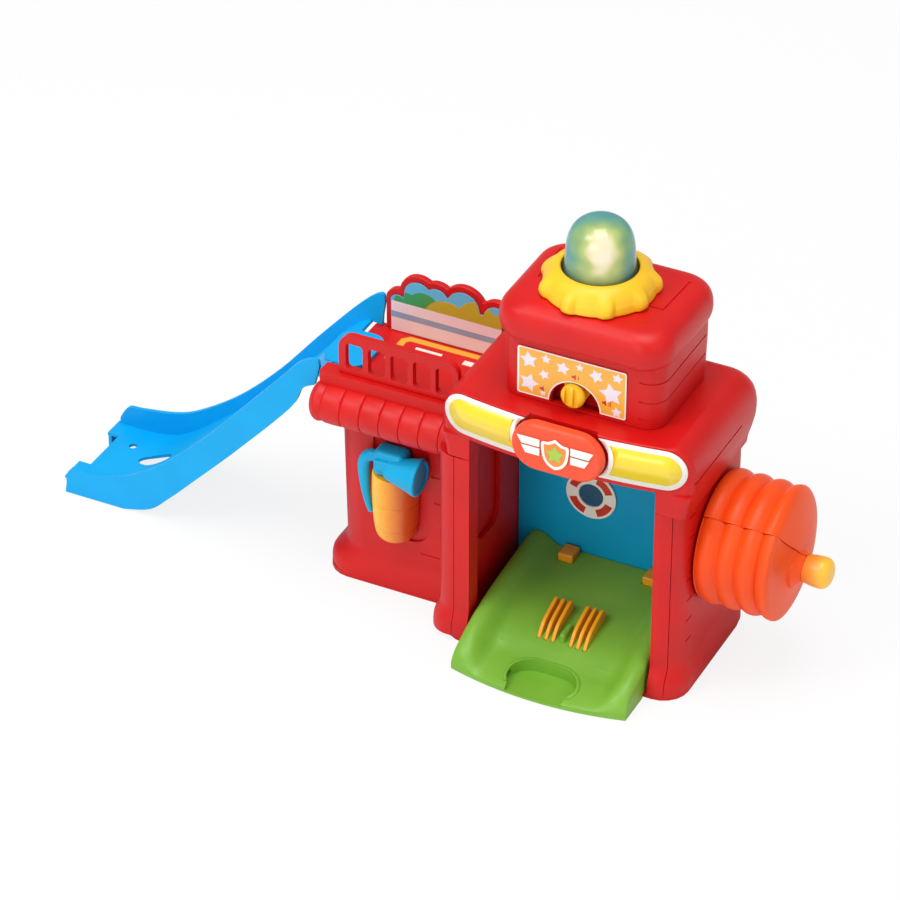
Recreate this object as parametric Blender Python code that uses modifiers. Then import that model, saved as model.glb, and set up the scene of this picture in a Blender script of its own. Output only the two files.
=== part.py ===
"""Toy fire station: a red two-block building with a roof deck and slide, and a garage with a ramp.

A tower with a beacon stands on the garage, and a hose reel turns on its right wall. Metres, +Z up.
The origin is on the floor under the middle of the garage, whose doorway looks along -Y.
"""

import math

import bmesh
import bpy
from mathutils import Matrix, Vector

# General sizes
CLEARANCE = 0.0003
OVERRUN = 0.0100
SHELL_WALL = 0.0027
STICKER = 0.0005
CORNER_STEPS = 5
ROUND_STEPS = 32

# Base plate and the feet of both blocks
BASE_THICKNESS = 0.0025
BASE_INSET = 0.0008
FOOT_FLARE = 0.0042
GARAGE_FLARE = 0.0030
FOOT_RISE = 0.0160
FLARE_SHARES = ((0.0, 1.0), (0.35, 0.95), (0.62, 0.60), (0.82, 0.22), (1.0, 0.0))

# Garage block
GARAGE_HALF_WIDTH = 0.0645
GARAGE_FRONT = -0.0410
GARAGE_BACK = 0.0435
GARAGE_CORNER = 0.0120
SIDE_WALL = 0.0057
SEAM_HALF_WIDTH = GARAGE_HALF_WIDTH - SIDE_WALL
PILLAR_WIDTH = 0.0143
DOOR_HALF_WIDTH = GARAGE_HALF_WIDTH - PILLAR_WIDTH
JAMB_DEPTH = 0.0100
LINER_WALL = 0.0025
BAY_HALF_WIDTH = SEAM_HALF_WIDTH - CLEARANCE - LINER_WALL
BAY_HEIGHT = 0.1250
CEILING = 0.0020
WINDOW_SETBACK = 0.0201
WINDOW_FRONT = GARAGE_FRONT + WINDOW_SETBACK
WINDOW_LENGTH = 0.0277
WINDOW_BOTTOM = 0.0450
WINDOW_TOP_GAP = 0.0070
WINDOW_TOP = BAY_HEIGHT - WINDOW_TOP_GAP
PANEL_SETBACK = 0.0155
PANEL_FRONT = GARAGE_BACK - PANEL_SETBACK
PANEL_THICKNESS = 0.0020
GRILLE_SLOTS = 5
GRILLE_SLOT_LENGTH = 0.0240
GRILLE_SLOT_WIDTH = 0.0020
GRILLE_PITCH = 0.0050

# Garage roof and its sign
ROOF_OVERHANG = 0.0034
ROOF_LIP = 0.0130
ROOF_BOTTOM = BAY_HEIGHT - ROOF_LIP
ROOF_HEIGHT = 0.0265
ROOF_TOP = BAY_HEIGHT + ROOF_HEIGHT
ROOF_ROUND = 0.0100
ROOF_FRONT_CORNER = 0.0040
ROOF_X = 0.0011
ROOF_THICKNESS = 0.0050
ROOF_SHARES = ((0.0, 0.30), (0.14, 0.22), (0.30, 0.06), (0.48, 0.0), (0.66, 0.03), (0.81, 0.16),
               (0.925, 0.45), (0.982, 0.80), (1.0, 1.10))
SIGN_PROUD = 0.0050
SIGN_FRONT = GARAGE_FRONT - SIGN_PROUD
SIGN_BOW = 0.0075
SIGN_WALL = 0.0108
SIGN_CAVITY_FRONT = SIGN_FRONT + SIGN_WALL
SIGN_STRIP_HEIGHT = 0.0225
SIGN_STRIP_MARGIN = 0.0012
SIGN_STRIP_END = GARAGE_HALF_WIDTH + ROOF_OVERHANG - ROOF_FRONT_CORNER + SIGN_STRIP_MARGIN
SIGN_STEPS = 8
SIGN_CENTRE_RISE = 0.0140
SIGN_X = 0.0019
SIGN_CENTRE_Z = BAY_HEIGHT + SIGN_CENTRE_RISE

# Badge button on the sign
BADGE_WIDTH = 0.0485
BADGE_HEIGHT = 0.0268
BADGE_PROUD = 0.0065
BADGE_FRONT = SIGN_FRONT - BADGE_PROUD
BADGE_THICKNESS = 0.0069
BADGE_BACK = BADGE_FRONT + BADGE_THICKNESS
BADGE_ROUND = 0.0022
BADGE_POCKET_DEPTH = 0.0032
BADGE_POCKET_FLOOR = SIGN_FRONT + BADGE_POCKET_DEPTH
BADGE_STEM_WIDTH = 0.0240
BADGE_STEM_HEIGHT = 0.0100
BADGE_CATCH = 0.0020
BADGE_CATCH_DEPTH = 0.0022
BADGE_BOARD_SETBACK = 0.0122
BADGE_BOARD_FRONT = SIGN_CAVITY_FRONT + BADGE_BOARD_SETBACK
BADGE_BOARD_WIDTH = 0.0400
BADGE_BOARD_HEIGHT = 0.0180
BADGE_TRAVEL = 0.0025
BADGE_SWITCH_SIZE = 0.0060
BADGE_SWITCH_DEPTH = 0.0040
BADGE_PLUNGER_RADIUS = 0.0017
EMBLEM_WIDTH = 0.0420
EMBLEM_HEIGHT = 0.0180
EMBLEM_SHARES = ((0.0, -0.50), (0.13, -0.36), (0.20, -0.16), (0.30, -0.26), (0.38, -0.10), (0.44, 0.02),
                 (0.50, 0.24), (0.24, 0.26), (0.20, 0.42), (0.0, 0.50))
BOARD = 0.0016

# Tower with the volume switch
TOWER_HALF_WIDTH = 0.0432
TOWER_X = 0.0044
TOWER_FRONT = -0.0315
TOWER_BACK = 0.0317
TOWER_HEIGHT = 0.0350
TOWER_TOP = ROOF_TOP + TOWER_HEIGHT
TOWER_CORNER = 0.0100
TOWER_FOOT_INSET = 0.0008
TOWER_WALL = 0.0030
PANEL_STICKER_LEFT = -0.0285
PANEL_STICKER_RIGHT = 0.0295
PANEL_STICKER_FOOT = 0.0030
PANEL_STICKER_BOTTOM = ROOF_TOP + PANEL_STICKER_FOOT
PANEL_STICKER_MARGIN = 0.0050
PANEL_STICKER_TOP = TOWER_TOP - PANEL_STICKER_MARGIN
SWITCH_X = 0.0022
SWITCH_RISE = 0.0030
SWITCH_Z = ROOF_TOP + SWITCH_RISE
SWITCH_SLOT_RADIUS = 0.0130
SWITCH_SECTOR_RADIUS = 0.0150
SWITCH_SECTOR_HALF_ANGLE = math.radians(38.0)
SWITCH_SECTOR_THICKNESS = 0.0020
SWITCH_HUB_RADIUS = 0.0026
SWITCH_PIN_RADIUS = 0.0013
SWITCH_KNOB_REACH = 0.0072
SWITCH_KNOB_RADIUS = 0.0063
SWITCH_KNOB_PROUD = 0.0042
SWITCH_NECK_RADIUS = 0.0040
SWITCH_GRIP_WIDTH = 0.0014
SWITCH_BOARD_WIDTH = 0.0300
SWITCH_BOARD_HEIGHT = 0.0150

# Tower cap
CAP_OVERHANG = 0.0029
CAP_CENTRE_Y = -0.0017
CAP_HALF_DEPTH = 0.0363
CAP_HEIGHT = 0.0200
CAP_TOP = TOWER_TOP + CAP_HEIGHT
CAP_CORNER = 0.0140
CAP_ROUND = 0.0100
CAP_ROOF = 0.0040
CAP_SHARES = ((0.0, 0.24), (0.15, 0.06), (0.35, 0.0), (0.60, 0.05), (0.80, 0.22), (0.92, 0.50), (1.0, 1.05))
CAP_SEAM_X = 0.0340
CAP_SEAM_WIDTH = 0.0010
CAP_SEAM_DEPTH = 0.0006
CAP_SEAM_FRONT = -0.0050
CAP_SEAM_BACK = 0.0220
RIM_SEAT = 0.0012

# Beacon on the cap
BEACON_Y = -0.0037
BEACON_X = 0.0015
COLLAR_BORE = 0.0192
COLLAR_POCKET = 0.0220
COLLAR_POCKET_HEIGHT = 0.0050
COLLAR_POCKET_TOP = CAP_TOP + COLLAR_POCKET_HEIGHT
COLLAR_RADIUS = 0.0292
COLLAR_WAVE = 0.0017
COLLAR_LOBES = 8
COLLAR_STEPS = 48
COLLAR_HEIGHT = 0.0132
COLLAR_TOP = CAP_TOP + COLLAR_HEIGHT
COLLAR_HEIGHT_SHARES = ((1.0, 0.0), (1.0, 0.22), (0.94, 0.48), (0.84, 0.78), (0.775, 0.97))
DOME_RADIUS = 0.0184
DOME_SHOULDER_RADIUS = 0.0171
DOME_HEIGHT = 0.0398
DOME_TOP = CAP_TOP + DOME_HEIGHT
DOME_WALL = 0.0018
DOME_ARC_STEPS = 6
DOME_FLANGE_RADIUS = 0.0213
DOME_FLANGE_RISE = 0.0034
DOME_FLANGE_BOTTOM = CAP_TOP + DOME_FLANGE_RISE
DOME_SKIRT_RADIUS = 0.0155
DOME_SKIRT_RISE = 0.0120
DOME_SKIRT_BOTTOM = TOWER_TOP + DOME_SKIRT_RISE
DOME_HOLE_RADIUS = 0.0162
LAMP_RADIUS = 0.0025
LAMP_HEIGHT = 0.0085
LAMP_FOOT_RADIUS = 0.0034
LAMP_FOOT_HEIGHT = 0.0016
DOME_SPRING_RADIUS = 0.0136
SPRING_WIRE = 0.0005
SPRING_TURNS = 3
SPRING_STEPS = 10

# Left block
BLOCK_WIDTH = 0.0757
BLOCK_LEFT = -GARAGE_HALF_WIDTH - BLOCK_WIDTH
BLOCK_FRONT = -0.0160
BLOCK_BACK = 0.0415
BLOCK_CORNER = 0.0150
BLOCK_FLARE_LEFT = 0.0060
DECK_TOP = 0.1195
DECK_THICKNESS = 0.0025
DECK_BOTTOM = DECK_TOP - DECK_THICKNESS
DECK_OVERHANG = 0.0028
DECK_LEFT = BLOCK_LEFT - DECK_OVERHANG
DECK_CORNER = 0.0040
ROOF_LINE_X = ROOF_X - GARAGE_HALF_WIDTH - ROOF_OVERHANG - CLEARANCE
RECESS_INSET = 0.0237
RECESS_LEFT = BLOCK_LEFT + RECESS_INSET
RECESS_WIDTH = 0.0315
RECESS_RIGHT = RECESS_LEFT + RECESS_WIDTH
RECESS_BOTTOM = 0.0320
RECESS_TOP = 0.1000
RECESS_CORNER = 0.0100
RECESS_DEPTH = 0.0013

# Roof edge of the left block: tile roll, ledge and railing
TILE_RADIUS = 0.0100
TILE_PROUD = 0.0045
TILE_Y = BLOCK_FRONT - TILE_PROUD
TILE_Z = DECK_TOP - TILE_RADIUS
TILE_OVERHANG = 0.0082
TILE_LEFT = BLOCK_LEFT - TILE_OVERHANG
TILE_PITCH = 0.0111
TILE_COUNT = 7
TILE_GROOVE_DEPTH = 0.0011
TILE_GROOVE_WIDTH = 0.0020
LEDGE_PROUD = 0.0060
LEDGE_FRONT = BLOCK_FRONT - LEDGE_PROUD
LEDGE_DEPTH = 0.0087
LEDGE_BACK = LEDGE_FRONT + LEDGE_DEPTH
LEDGE_OVERHANG = 0.0033
LEDGE_LEFT = BLOCK_LEFT - LEDGE_OVERHANG
LEDGE_DROP = 0.0065
LEDGE_BOTTOM = DECK_TOP - LEDGE_DROP
LEDGE_RISE = 0.0070
LEDGE_TOP = DECK_TOP + LEDGE_RISE
LEDGE_ROUND = 0.0015
RAILING_INSET = 0.0062
RAILING_LEFT = BLOCK_LEFT + RAILING_INSET
RAILING_PROUD = 0.0030
RAILING_FRONT = BLOCK_FRONT - RAILING_PROUD
RAILING_THICKNESS = 0.0036
RAILING_RISE = 0.0235
RAILING_TOP = LEDGE_TOP + RAILING_RISE
RAILING_FOOT = 0.0030
RAILING_RAIL = 0.0055
RAILING_GAPS = 5
RAILING_PITCH = 0.0126
RAILING_GAP = 0.0096
RAILING_ROUND = 0.0080

# Cloud board behind the deck
CLOUD_THICKNESS = 0.0035
CLOUD_BACK = BLOCK_BACK
CLOUD_FRONT = CLOUD_BACK - CLOUD_THICKNESS
CLOUD_INSET = 0.0037
CLOUD_LEFT = BLOCK_LEFT + CLOUD_INSET
CLOUD_RIM = 0.0032
CLOUD_STEPS = 30
CLOUD_HEIGHT = 0.0365
CLOUD_LOBE_SHARES = ((0.101, 0.685, 0.219), (0.267, 0.967, 0.301), (0.418, 0.942, 0.274),
                     (0.634, 1.0, 0.342), (0.900, 0.899, 0.274))

# Ramp
RAMP_SIDE_GAP = 0.0019
RAMP_HALF_WIDTH = DOOR_HALF_WIDTH - RAMP_SIDE_GAP
RAMP_RAIL = 0.0075
RAMP_BANK = 0.0080
RAMP_EDGE = 0.0011
RAMP_BACK = 0.0273
RAMP_ARC = 0.0075
RAMP_ARC_BACK = -0.0450
RAMP_SKIN = 0.0022
RAMP_STEPS = 6
RAMP_SECTIONS = ((-0.0650, 0.0026, 0.0032), (-0.0630, 0.0042, 0.0072), (-0.0554, 0.0085, 0.0110),
                 (-0.0450, 0.0135, 0.0158), (-0.0326, 0.0165, 0.0208), (-0.0210, 0.0187, 0.0216),
                 (-0.0094, 0.0202, 0.0234), (0.0273, 0.0229, 0.0278))
NOTCH_FLOOR = 0.0016
NOTCH_BULB = 0.0180
NOTCH_BULB_Y = -0.0605
NOTCH_BACK = -0.0495
NOTCH_NECK = 0.0155
NOTCH_NECK_Y = -0.0685
RIB_WIDTH = 0.0020
RIB_PITCH = 0.0039
RIB_GROUP_X = 0.0088
RIB_FRONT = -0.0415
RIB_BACK = -0.0138
RIB_TOPS = ((-0.0415, 0.0150), (-0.0400, 0.0166), (-0.0300, 0.0206), (-0.0175, 0.0240), (-0.0150, 0.0236),
            (-0.0138, 0.0205))
RIB_PLATE = 0.0025
GUIDE_WIDTH = 0.0030
GUIDE_FRONT = -0.0370
GUIDE_BACK = -0.0260
GUIDE_HEIGHT = 0.0030
STOP_INNER = 0.0195
STOP_OUTER = 0.0280
STOP_FRONT = 0.0170
STOP_BACK = 0.0270
STOP_TOP = 0.0252
STOP_BAR = 0.0030

# Life ring on the back panel
RING_X = -0.0143
RING_Z = 0.0590
RING_RADIUS = 0.0140
RING_THICKNESS = 0.0010
RING_BORE = 0.0068

# Slide
SLIDE_GAP = 0.0020
SLIDE_JOIN_X = DECK_LEFT - SLIDE_GAP
SLIDE_RUN = 0.1560
SLIDE_PROUD = 0.0025
SLIDE_FRONT = BLOCK_FRONT - SLIDE_PROUD
SLIDE_BACK_INSET = 0.0015
SLIDE_BACK = BLOCK_BACK - SLIDE_BACK_INSET
SLIDE_TONGUE = 0.0020
SLIDE_FLOOR_TOP = DECK_TOP + SLIDE_TONGUE
SLIDE_WALL = 0.0022
SLIDE_FLOOR = 0.0017
SLIDE_LIP = 0.0080
SLIDE_LIP_WIDTH = 0.0320
SLIDE_TONGUE_REACH = 0.0140
SLIDE_TONGUE_END = DECK_LEFT + SLIDE_TONGUE_REACH
SLIDE_PEG_REACH = 0.0070
SLIDE_PEG_X = DECK_LEFT + SLIDE_PEG_REACH
SLIDE_PEG_RADIUS = 0.0030
SLIDE_CORNER = 0.0060
SLIDE_HOLE_REACH = 0.1170
SLIDE_HOLE_X = SLIDE_JOIN_X - SLIDE_HOLE_REACH
SLIDE_HOLE_LENGTH = 0.0200
SLIDE_HOLE_WIDTH = 0.0100
SLIDE_NOTCH_DEPTH = 0.0070
SLIDE_NOTCH_FRONT = -0.0030
SLIDE_NOTCH_BACK = 0.0270
SLIDE_KEY_REACH = 0.1370
SLIDE_KEY_X = SLIDE_JOIN_X - SLIDE_KEY_REACH
SLIDE_KEY_Y = 0.0215
SLIDE_KEY_RADIUS = 0.0022
SLIDE_FLOOR_SHARES = ((1.0, 0.085), (0.865, 0.088), (0.776, 0.105), (0.699, 0.155), (0.622, 0.228),
                      (0.462, 0.402), (0.301, 0.612), (0.147, 0.833), (0.077, 0.936), (0.032, 0.984), (0.0, 1.0))
SLIDE_BOTTOM_SHARES = ((0.77, 0.0), (0.667, 0.040), (0.587, 0.131), (0.466, 0.291), (0.308, 0.505),
                       (0.115, 0.785), (0.069, 0.900), (0.022, 0.938))
NEAR_RIM_SHARES = ((0.004, 1.030), (0.014, 1.066), (0.074, 1.033), (0.150, 0.924), (0.303, 0.702),
                   (0.460, 0.481), (0.620, 0.292), (0.699, 0.221), (0.779, 0.165), (0.897, 0.122),
                   (0.955, 0.146), (0.987, 0.110))
FAR_RIM_SHARES = ((-0.042, 1.034), (-0.050, 1.122), (-0.028, 1.141), (0.046, 1.061), (0.199, 0.843),
                  (0.354, 0.609), (0.513, 0.412), (0.672, 0.271), (0.772, 0.218), (0.900, 0.190),
                  (0.955, 0.180), (0.987, 0.120))
FAR_FOOT_SHARES = ((0.77, 0.0), (0.667, 0.040), (0.587, 0.131), (0.466, 0.291), (0.308, 0.505),
                   (0.115, 0.785), (0.069, 0.900), (0.022, 0.986), (-0.040, 0.989))
CURVE_STEPS = 2

# Hose reel on the right wall
REEL_Y = 0.0050
REEL_TURN = math.radians(48.0)
REEL_DROP = 0.0500
REEL_Z = BAY_HEIGHT - REEL_DROP
REEL_CREST = 0.0346
REEL_DIP = 0.0028
REEL_PITCH = 0.0106
REEL_RINGS = 4
REEL_RING_STEPS = 4
REEL_BACK_WALL = 0.0066
REEL_SHELL = 0.0040
REEL_END_LENGTH = 0.0055
REEL_END_RADIUS = 0.0130
AXLE_FLANGE_RADIUS = 0.0100
AXLE_FLANGE = 0.0008
AXLE_NECK_RADIUS = 0.0060
AXLE_HEAD_RADIUS = 0.0085
AXLE_HEAD = 0.0020
NOZZLE_RADIUS = 0.0082
NOZZLE_LENGTH = 0.0135
NOZZLE_DROP = 0.0047
NOZZLE_ROUND = 0.0040

# Fire extinguisher on the left block
BOTTLE_REACH = 0.0372
BOTTLE_X = BLOCK_LEFT + BOTTLE_REACH
BOTTLE_PROUD = 0.0015
BOTTLE_Y = BLOCK_FRONT - BOTTLE_PROUD
BOTTLE_RADIUS = 0.0125
BOTTLE_BOTTOM = 0.0370
BOTTLE_HEIGHT = 0.0410
BOTTLE_TOP = BOTTLE_BOTTOM + BOTTLE_HEIGHT
BOTTLE_GROOVE = 0.0005
BOTTLE_SHARES = ((0.0, 1.0), (0.40, 1.0), (0.66, 0.955), (0.86, 0.86), (0.96, 0.74), (1.0, 0.60), (1.0, 0.46),
                 (0.955, 0.435), (1.0, 0.415), (1.0, 0.235), (0.955, 0.210), (0.99, 0.185), (0.94, 0.10),
                 (0.80, 0.035), (0.55, 0.0), (0.0, 0.0))
HEAD_WIDTH = 0.0150
HEAD_DEPTH = 0.0120
HEAD_HEIGHT = 0.0165
HEAD_ROUND = 0.0020
HORN_START = BOTTLE_X + HEAD_ROUND
HORN_LENGTH = 0.0175
HORN_END = HORN_START + HORN_LENGTH
HORN_RISE = 0.0065
HORN_Z = BOTTLE_TOP + HORN_RISE
HORN_PROUD = 0.0106
HORN_Y = BLOCK_FRONT - HORN_PROUD
HORN_SMALL = 0.0072
HORN_LARGE = 0.0102
HOSE_RADIUS = 0.0028
HOSE_PROUD = 0.0062
HOSE_Y = BLOCK_FRONT - HOSE_PROUD
HOSE_START = BOTTLE_X - HEAD_WIDTH / 2 - CLEARANCE
HOSE_REACH = 0.0079
HOSE_RISE = 0.0105
HOSE_TOP = BOTTLE_TOP + HOSE_RISE
HOSE_DROP = 0.0365
HOSE_SHARES = ((0.0, 0.0), (0.41, 0.0), (0.75, 0.047), (0.96, 0.151), (1.0, 0.315), (0.96, 0.507),
               (0.94, 0.699), (0.91, 0.890), (0.91, 1.0))

# Batteries, speaker and boards
BATTERY_REACH = 0.0372
BATTERY_X = BLOCK_LEFT + BATTERY_REACH
BATTERY_Y = 0.0120
BATTERY_RADIUS = 0.00525
BATTERY_LENGTH = 0.0435
BATTERY_PITCH = 0.0113
BATTERY_TERMINAL_RADIUS = 0.0019
BATTERY_TERMINAL = 0.0010
TRAY_WALL = 0.0018
CONTACT_THICKNESS = 0.0006
CONTACT_GAP = 0.0010
SPEAKER_DROP = 0.0650
SPEAKER_Z = BAY_HEIGHT - SPEAKER_DROP
SPEAKER_RADIUS = 0.0140
SPEAKER_FLANGE = 0.0020
SPEAKER_MAGNET_RADIUS = 0.0080
SPEAKER_MAGNET = 0.0045
MAIN_BOARD_WIDTH = 0.0700
MAIN_BOARD_DROP = 0.0400
MAIN_BOARD_BOTTOM = BAY_HEIGHT - MAIN_BOARD_DROP
MAIN_BOARD_HEIGHT = 0.0300

# Base screws and their posts
SCREW_HEAD_RADIUS = 0.0026
SCREW_HEAD = 0.0009
SCREW_RADIUS = 0.0012
SCREW_LENGTH = 0.0110
SCREW_SINK = 0.0013
POST_RADIUS = 0.0034
POST_HEIGHT = 0.0160
POST_INSET = 0.0045
GARAGE_POST_X = SEAM_HALF_WIDTH - POST_INSET
POST_SETBACK = 0.0055
GARAGE_POST_Y = GARAGE_BACK - POST_SETBACK
BLOCK_POST_REACH = 0.0105

# Colours
RED = (0.80, 0.03, 0.03, 1.0)
BLUE = (0.0, 0.42, 0.80, 1.0)
GREEN = (0.20, 0.55, 0.08, 1.0)
ORANGE = (0.95, 0.20, 0.03, 1.0)
YELLOW = (0.97, 0.70, 0.06, 1.0)
WHITE = (0.90, 0.90, 0.90, 1.0)
TEAL = (0.10, 0.50, 0.55, 1.0)
METAL = (0.60, 0.60, 0.62, 1.0)
BOARD_GREEN = (0.05, 0.25, 0.10, 1.0)
BLACK = (0.02, 0.02, 0.02, 1.0)

PARTS = "toy_fire_station"
CUTTERS = "cutters"


def clear_scene():
    """Remove everything and make the two collections."""
    for thing in list(bpy.data.objects):
        bpy.data.objects.remove(thing, do_unlink=True)
    for name in (PARTS, CUTTERS):
        group = bpy.data.collections.new(name)
        bpy.context.scene.collection.children.link(group)


def plastic(name, colour, roughness=0.35, metallic=0.0):
    """Principled material for one part."""
    material = bpy.data.materials.new(name)
    material.use_nodes = True
    shader = material.node_tree.nodes["Principled BSDF"]
    shader.inputs["Base Color"].default_value = colour
    shader.inputs["Roughness"].default_value = roughness
    shader.inputs["Metallic"].default_value = metallic
    return material


def finish(thing, colour, roughness=0.35, metallic=0.0):
    """Give a part its own material and smooth shading below sharp edges."""
    thing.data.materials.clear()
    thing.data.materials.append(plastic(thing.name, colour, roughness, metallic))
    return thing


def from_bmesh(name, bm):
    """Object in the parts collection from a bmesh whose faces are turned outwards."""
    bmesh.ops.recalc_face_normals(bm, faces=bm.faces)
    mesh = bpy.data.meshes.new(name)
    bm.to_mesh(mesh)
    bm.free()
    thing = bpy.data.objects.new(name, mesh)
    bpy.data.collections[PARTS].objects.link(thing)
    return thing


def box(name, low, high):
    """Cuboid between two corners."""
    bm = bmesh.new()
    bmesh.ops.create_cube(bm, size=1.0)
    size = [high[i] - low[i] for i in range(3)]
    middle = [(high[i] + low[i]) / 2 for i in range(3)]
    bmesh.ops.transform(bm, matrix=Matrix.LocRotScale(Vector(middle), None, Vector(size)), verts=bm.verts)
    return from_bmesh(name, bm)


def cylinder(name, start, end, radius, end_radius=None, steps=ROUND_STEPS):
    """Cylinder or cone between two points."""
    start, end = Vector(start), Vector(end)
    along = end - start
    bm = bmesh.new()
    bmesh.ops.create_cone(bm, cap_ends=True, segments=steps, radius1=radius,
                          radius2=radius if end_radius is None else end_radius, depth=along.length)
    turn = along.to_track_quat("Z", "Y").to_matrix().to_4x4()
    bmesh.ops.transform(bm, matrix=Matrix.Translation((start + end) / 2) @ turn, verts=bm.verts)
    return from_bmesh(name, bm)


def upright(u, v, w):
    """Outline in plan, layers by height."""
    return (u, v, w)


def front_to_back(u, v, w):
    """Outline seen from the front, layers by depth."""
    return (u, w, v)


def stacked(name, layers, place=upright):
    """Loft through closed outlines with equal point counts; each layer is an outline and its distance."""
    bm = bmesh.new()
    rings = [[bm.verts.new(place(u, v, w)) for u, v in outline] for outline, w in layers]
    count = len(rings[0])
    for lower, upper in zip(rings, rings[1:]):
        for i in range(count):
            j = (i + 1) % count
            bm.faces.new((lower[i], lower[j], upper[j], upper[i]))
    bm.faces.new(rings[0])
    bm.faces.new(rings[-1])
    bmesh.ops.triangulate(bm, faces=bm.faces)
    return from_bmesh(name, bm)


def rounded_outline(left, right, front, back, radius, steps=CORNER_STEPS, front_steps=1, front_radius=None):
    """Rectangle with round corners, anticlockwise from the front left corner."""
    near = radius if front_radius is None else front_radius
    corners = ((left + near, front + near, 2, near), (right - near, front + near, 3, near),
               (right - radius, back - radius, 0, radius), (left + radius, back - radius, 1, radius))
    points = []
    for number, (x, y, quarter, round_radius) in enumerate(corners):
        for step in range(steps + 1):
            angle = (quarter + step / steps) * math.pi / 2
            points.append((x + round_radius * math.cos(angle), y + round_radius * math.sin(angle)))
        if number == 0:
            span = right - left - 2 * near
            points += [(left + near + span * i / front_steps, front) for i in range(1, front_steps)]
    return points


def bowed(outline, bow, half, front, back):
    """Draw the ends of the front side back along a parabola."""
    return [(x, y + bow * (x / half) ** 2 * (back - y) / (back - front)) for x, y in outline]


def smooth_line(points, steps=CURVE_STEPS):
    """Points on a smooth curve through the given ones."""
    padded = [points[0]] + list(points) + [points[-1]]
    line = []
    for a, b, c, d in zip(padded, padded[1:], padded[2:], padded[3:]):
        for step in range(steps):
            t = step / steps
            line.append(tuple(
                0.5 * (2 * q + (r - p) * t + (2 * p - 5 * q + 4 * r - s) * t ** 2 + (3 * q - p - 3 * r + s) * t ** 3)
                for p, q, r, s in zip(a, b, c, d)))
    line.append(tuple(points[-1]))
    return line


PLANES = {
    "XY": Matrix.Identity(4),
    "XZ": Matrix(((1, 0, 0, 0), (0, 0, -1, 0), (0, 1, 0, 0), (0, 0, 0, 1))),
    "YZ": Matrix(((0, 0, 1, 0), (1, 0, 0, 0), (0, 1, 0, 0), (0, 0, 0, 1))),
}


def meshed(curve_thing):
    """Mesh object in place of a curve object, with its caps welded."""
    graph = bpy.context.evaluated_depsgraph_get()
    mesh = bpy.data.meshes.new_from_object(curve_thing.evaluated_get(graph))
    bm = bmesh.new()
    bm.from_mesh(mesh)
    bpy.data.meshes.remove(mesh)
    bmesh.ops.remove_doubles(bm, verts=bm.verts, dist=CLEARANCE / 30)
    bmesh.ops.transform(bm, matrix=curve_thing.matrix_world, verts=bm.verts)
    name = curve_thing.name
    bpy.data.objects.remove(curve_thing, do_unlink=True)
    return from_bmesh(name, bm)


def slab(name, plane, loops, low, high):
    """Flat outline with holes, extruded between two distances along the normal of its plane."""
    curve = bpy.data.curves.new(name, "CURVE")
    curve.dimensions = "2D"
    curve.fill_mode = "BOTH"
    curve.extrude = (high - low) / 2
    for loop in loops:
        spline = curve.splines.new("POLY")
        spline.points.add(len(loop) - 1)
        for point, (u, v) in zip(spline.points, loop):
            point.co = (u, v, 0.0, 1.0)
        spline.use_cyclic_u = True
    thing = bpy.data.objects.new(name, curve)
    bpy.data.collections[PARTS].objects.link(thing)
    normal = {"XY": Vector((0, 0, 1)), "XZ": Vector((0, 1, 0)), "YZ": Vector((1, 0, 0))}[plane]
    thing.matrix_world = Matrix.Translation(normal * (high + low) / 2) @ PLANES[plane]
    bpy.context.view_layer.update()
    return meshed(thing)


def tube(name, points, radius, resolution=2):
    """Round wire or hose along points, as a mesh with closed ends."""
    curve = bpy.data.curves.new(name, "CURVE")
    curve.dimensions = "3D"
    curve.bevel_depth = radius
    curve.bevel_resolution = resolution
    curve.use_fill_caps = True
    spline = curve.splines.new("POLY")
    spline.points.add(len(points) - 1)
    for point, place in zip(spline.points, points):
        point.co = (*place, 1.0)
    thing = bpy.data.objects.new(name, curve)
    bpy.data.collections[PARTS].objects.link(thing)
    bpy.context.view_layer.update()
    return meshed(thing)


def turned(name, profile, centre, along="Z", closed=False, steps=ROUND_STEPS):
    """Revolved profile of (radius, height) points that run down the outer side."""
    mesh = bpy.data.meshes.new(name)
    edges = [(i, i + 1) for i in range(len(profile) - 1)]
    if closed:
        edges.append((len(profile) - 1, 0))
    mesh.from_pydata([(r, 0.0, z) for r, z in profile], edges, [])
    thing = bpy.data.objects.new(name, mesh)
    bpy.data.collections[PARTS].objects.link(thing)
    screw = thing.modifiers.new("turn", "SCREW")
    screw.steps = steps
    screw.render_steps = steps
    screw.use_merge_vertices = True
    screw.merge_threshold = CLEARANCE / 30
    thing.location = centre
    if along == "X":
        thing.rotation_euler = (0.0, math.pi / 2, 0.0)
    if along == "-Y":
        thing.rotation_euler = (math.pi / 2, 0.0, 0.0)
    bpy.context.view_layer.update()
    return thing


def rounded(thing, width, segments=2, angle=math.radians(40.0)):
    """Round the sharp edges."""
    bevel = thing.modifiers.new("round", "BEVEL")
    bevel.width = width
    bevel.segments = segments
    bevel.limit_method = "ANGLE"
    bevel.angle_limit = angle
    return thing


def helper(thing):
    """Move a cutter or an added shape out of the parts and out of the render."""
    bpy.data.collections[PARTS].objects.unlink(thing)
    bpy.data.collections[CUTTERS].objects.link(thing)
    thing.hide_render = True
    thing.display_type = "WIRE"
    return thing


def combine(thing, other, operation):
    """Boolean of one object with a helper."""
    boolean = thing.modifiers.new(other.name, "BOOLEAN")
    boolean.operation = operation
    boolean.object = helper(other)
    return thing


def cut(thing, *others):
    """Take each shape away."""
    for other in others:
        combine(thing, other, "DIFFERENCE")
    return thing


def join(thing, *others):
    """Add each shape."""
    for other in others:
        combine(thing, other, "UNION")
    return thing


def keep(thing, other):
    """Leave only what both share."""
    return combine(thing, other, "INTERSECT")


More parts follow.
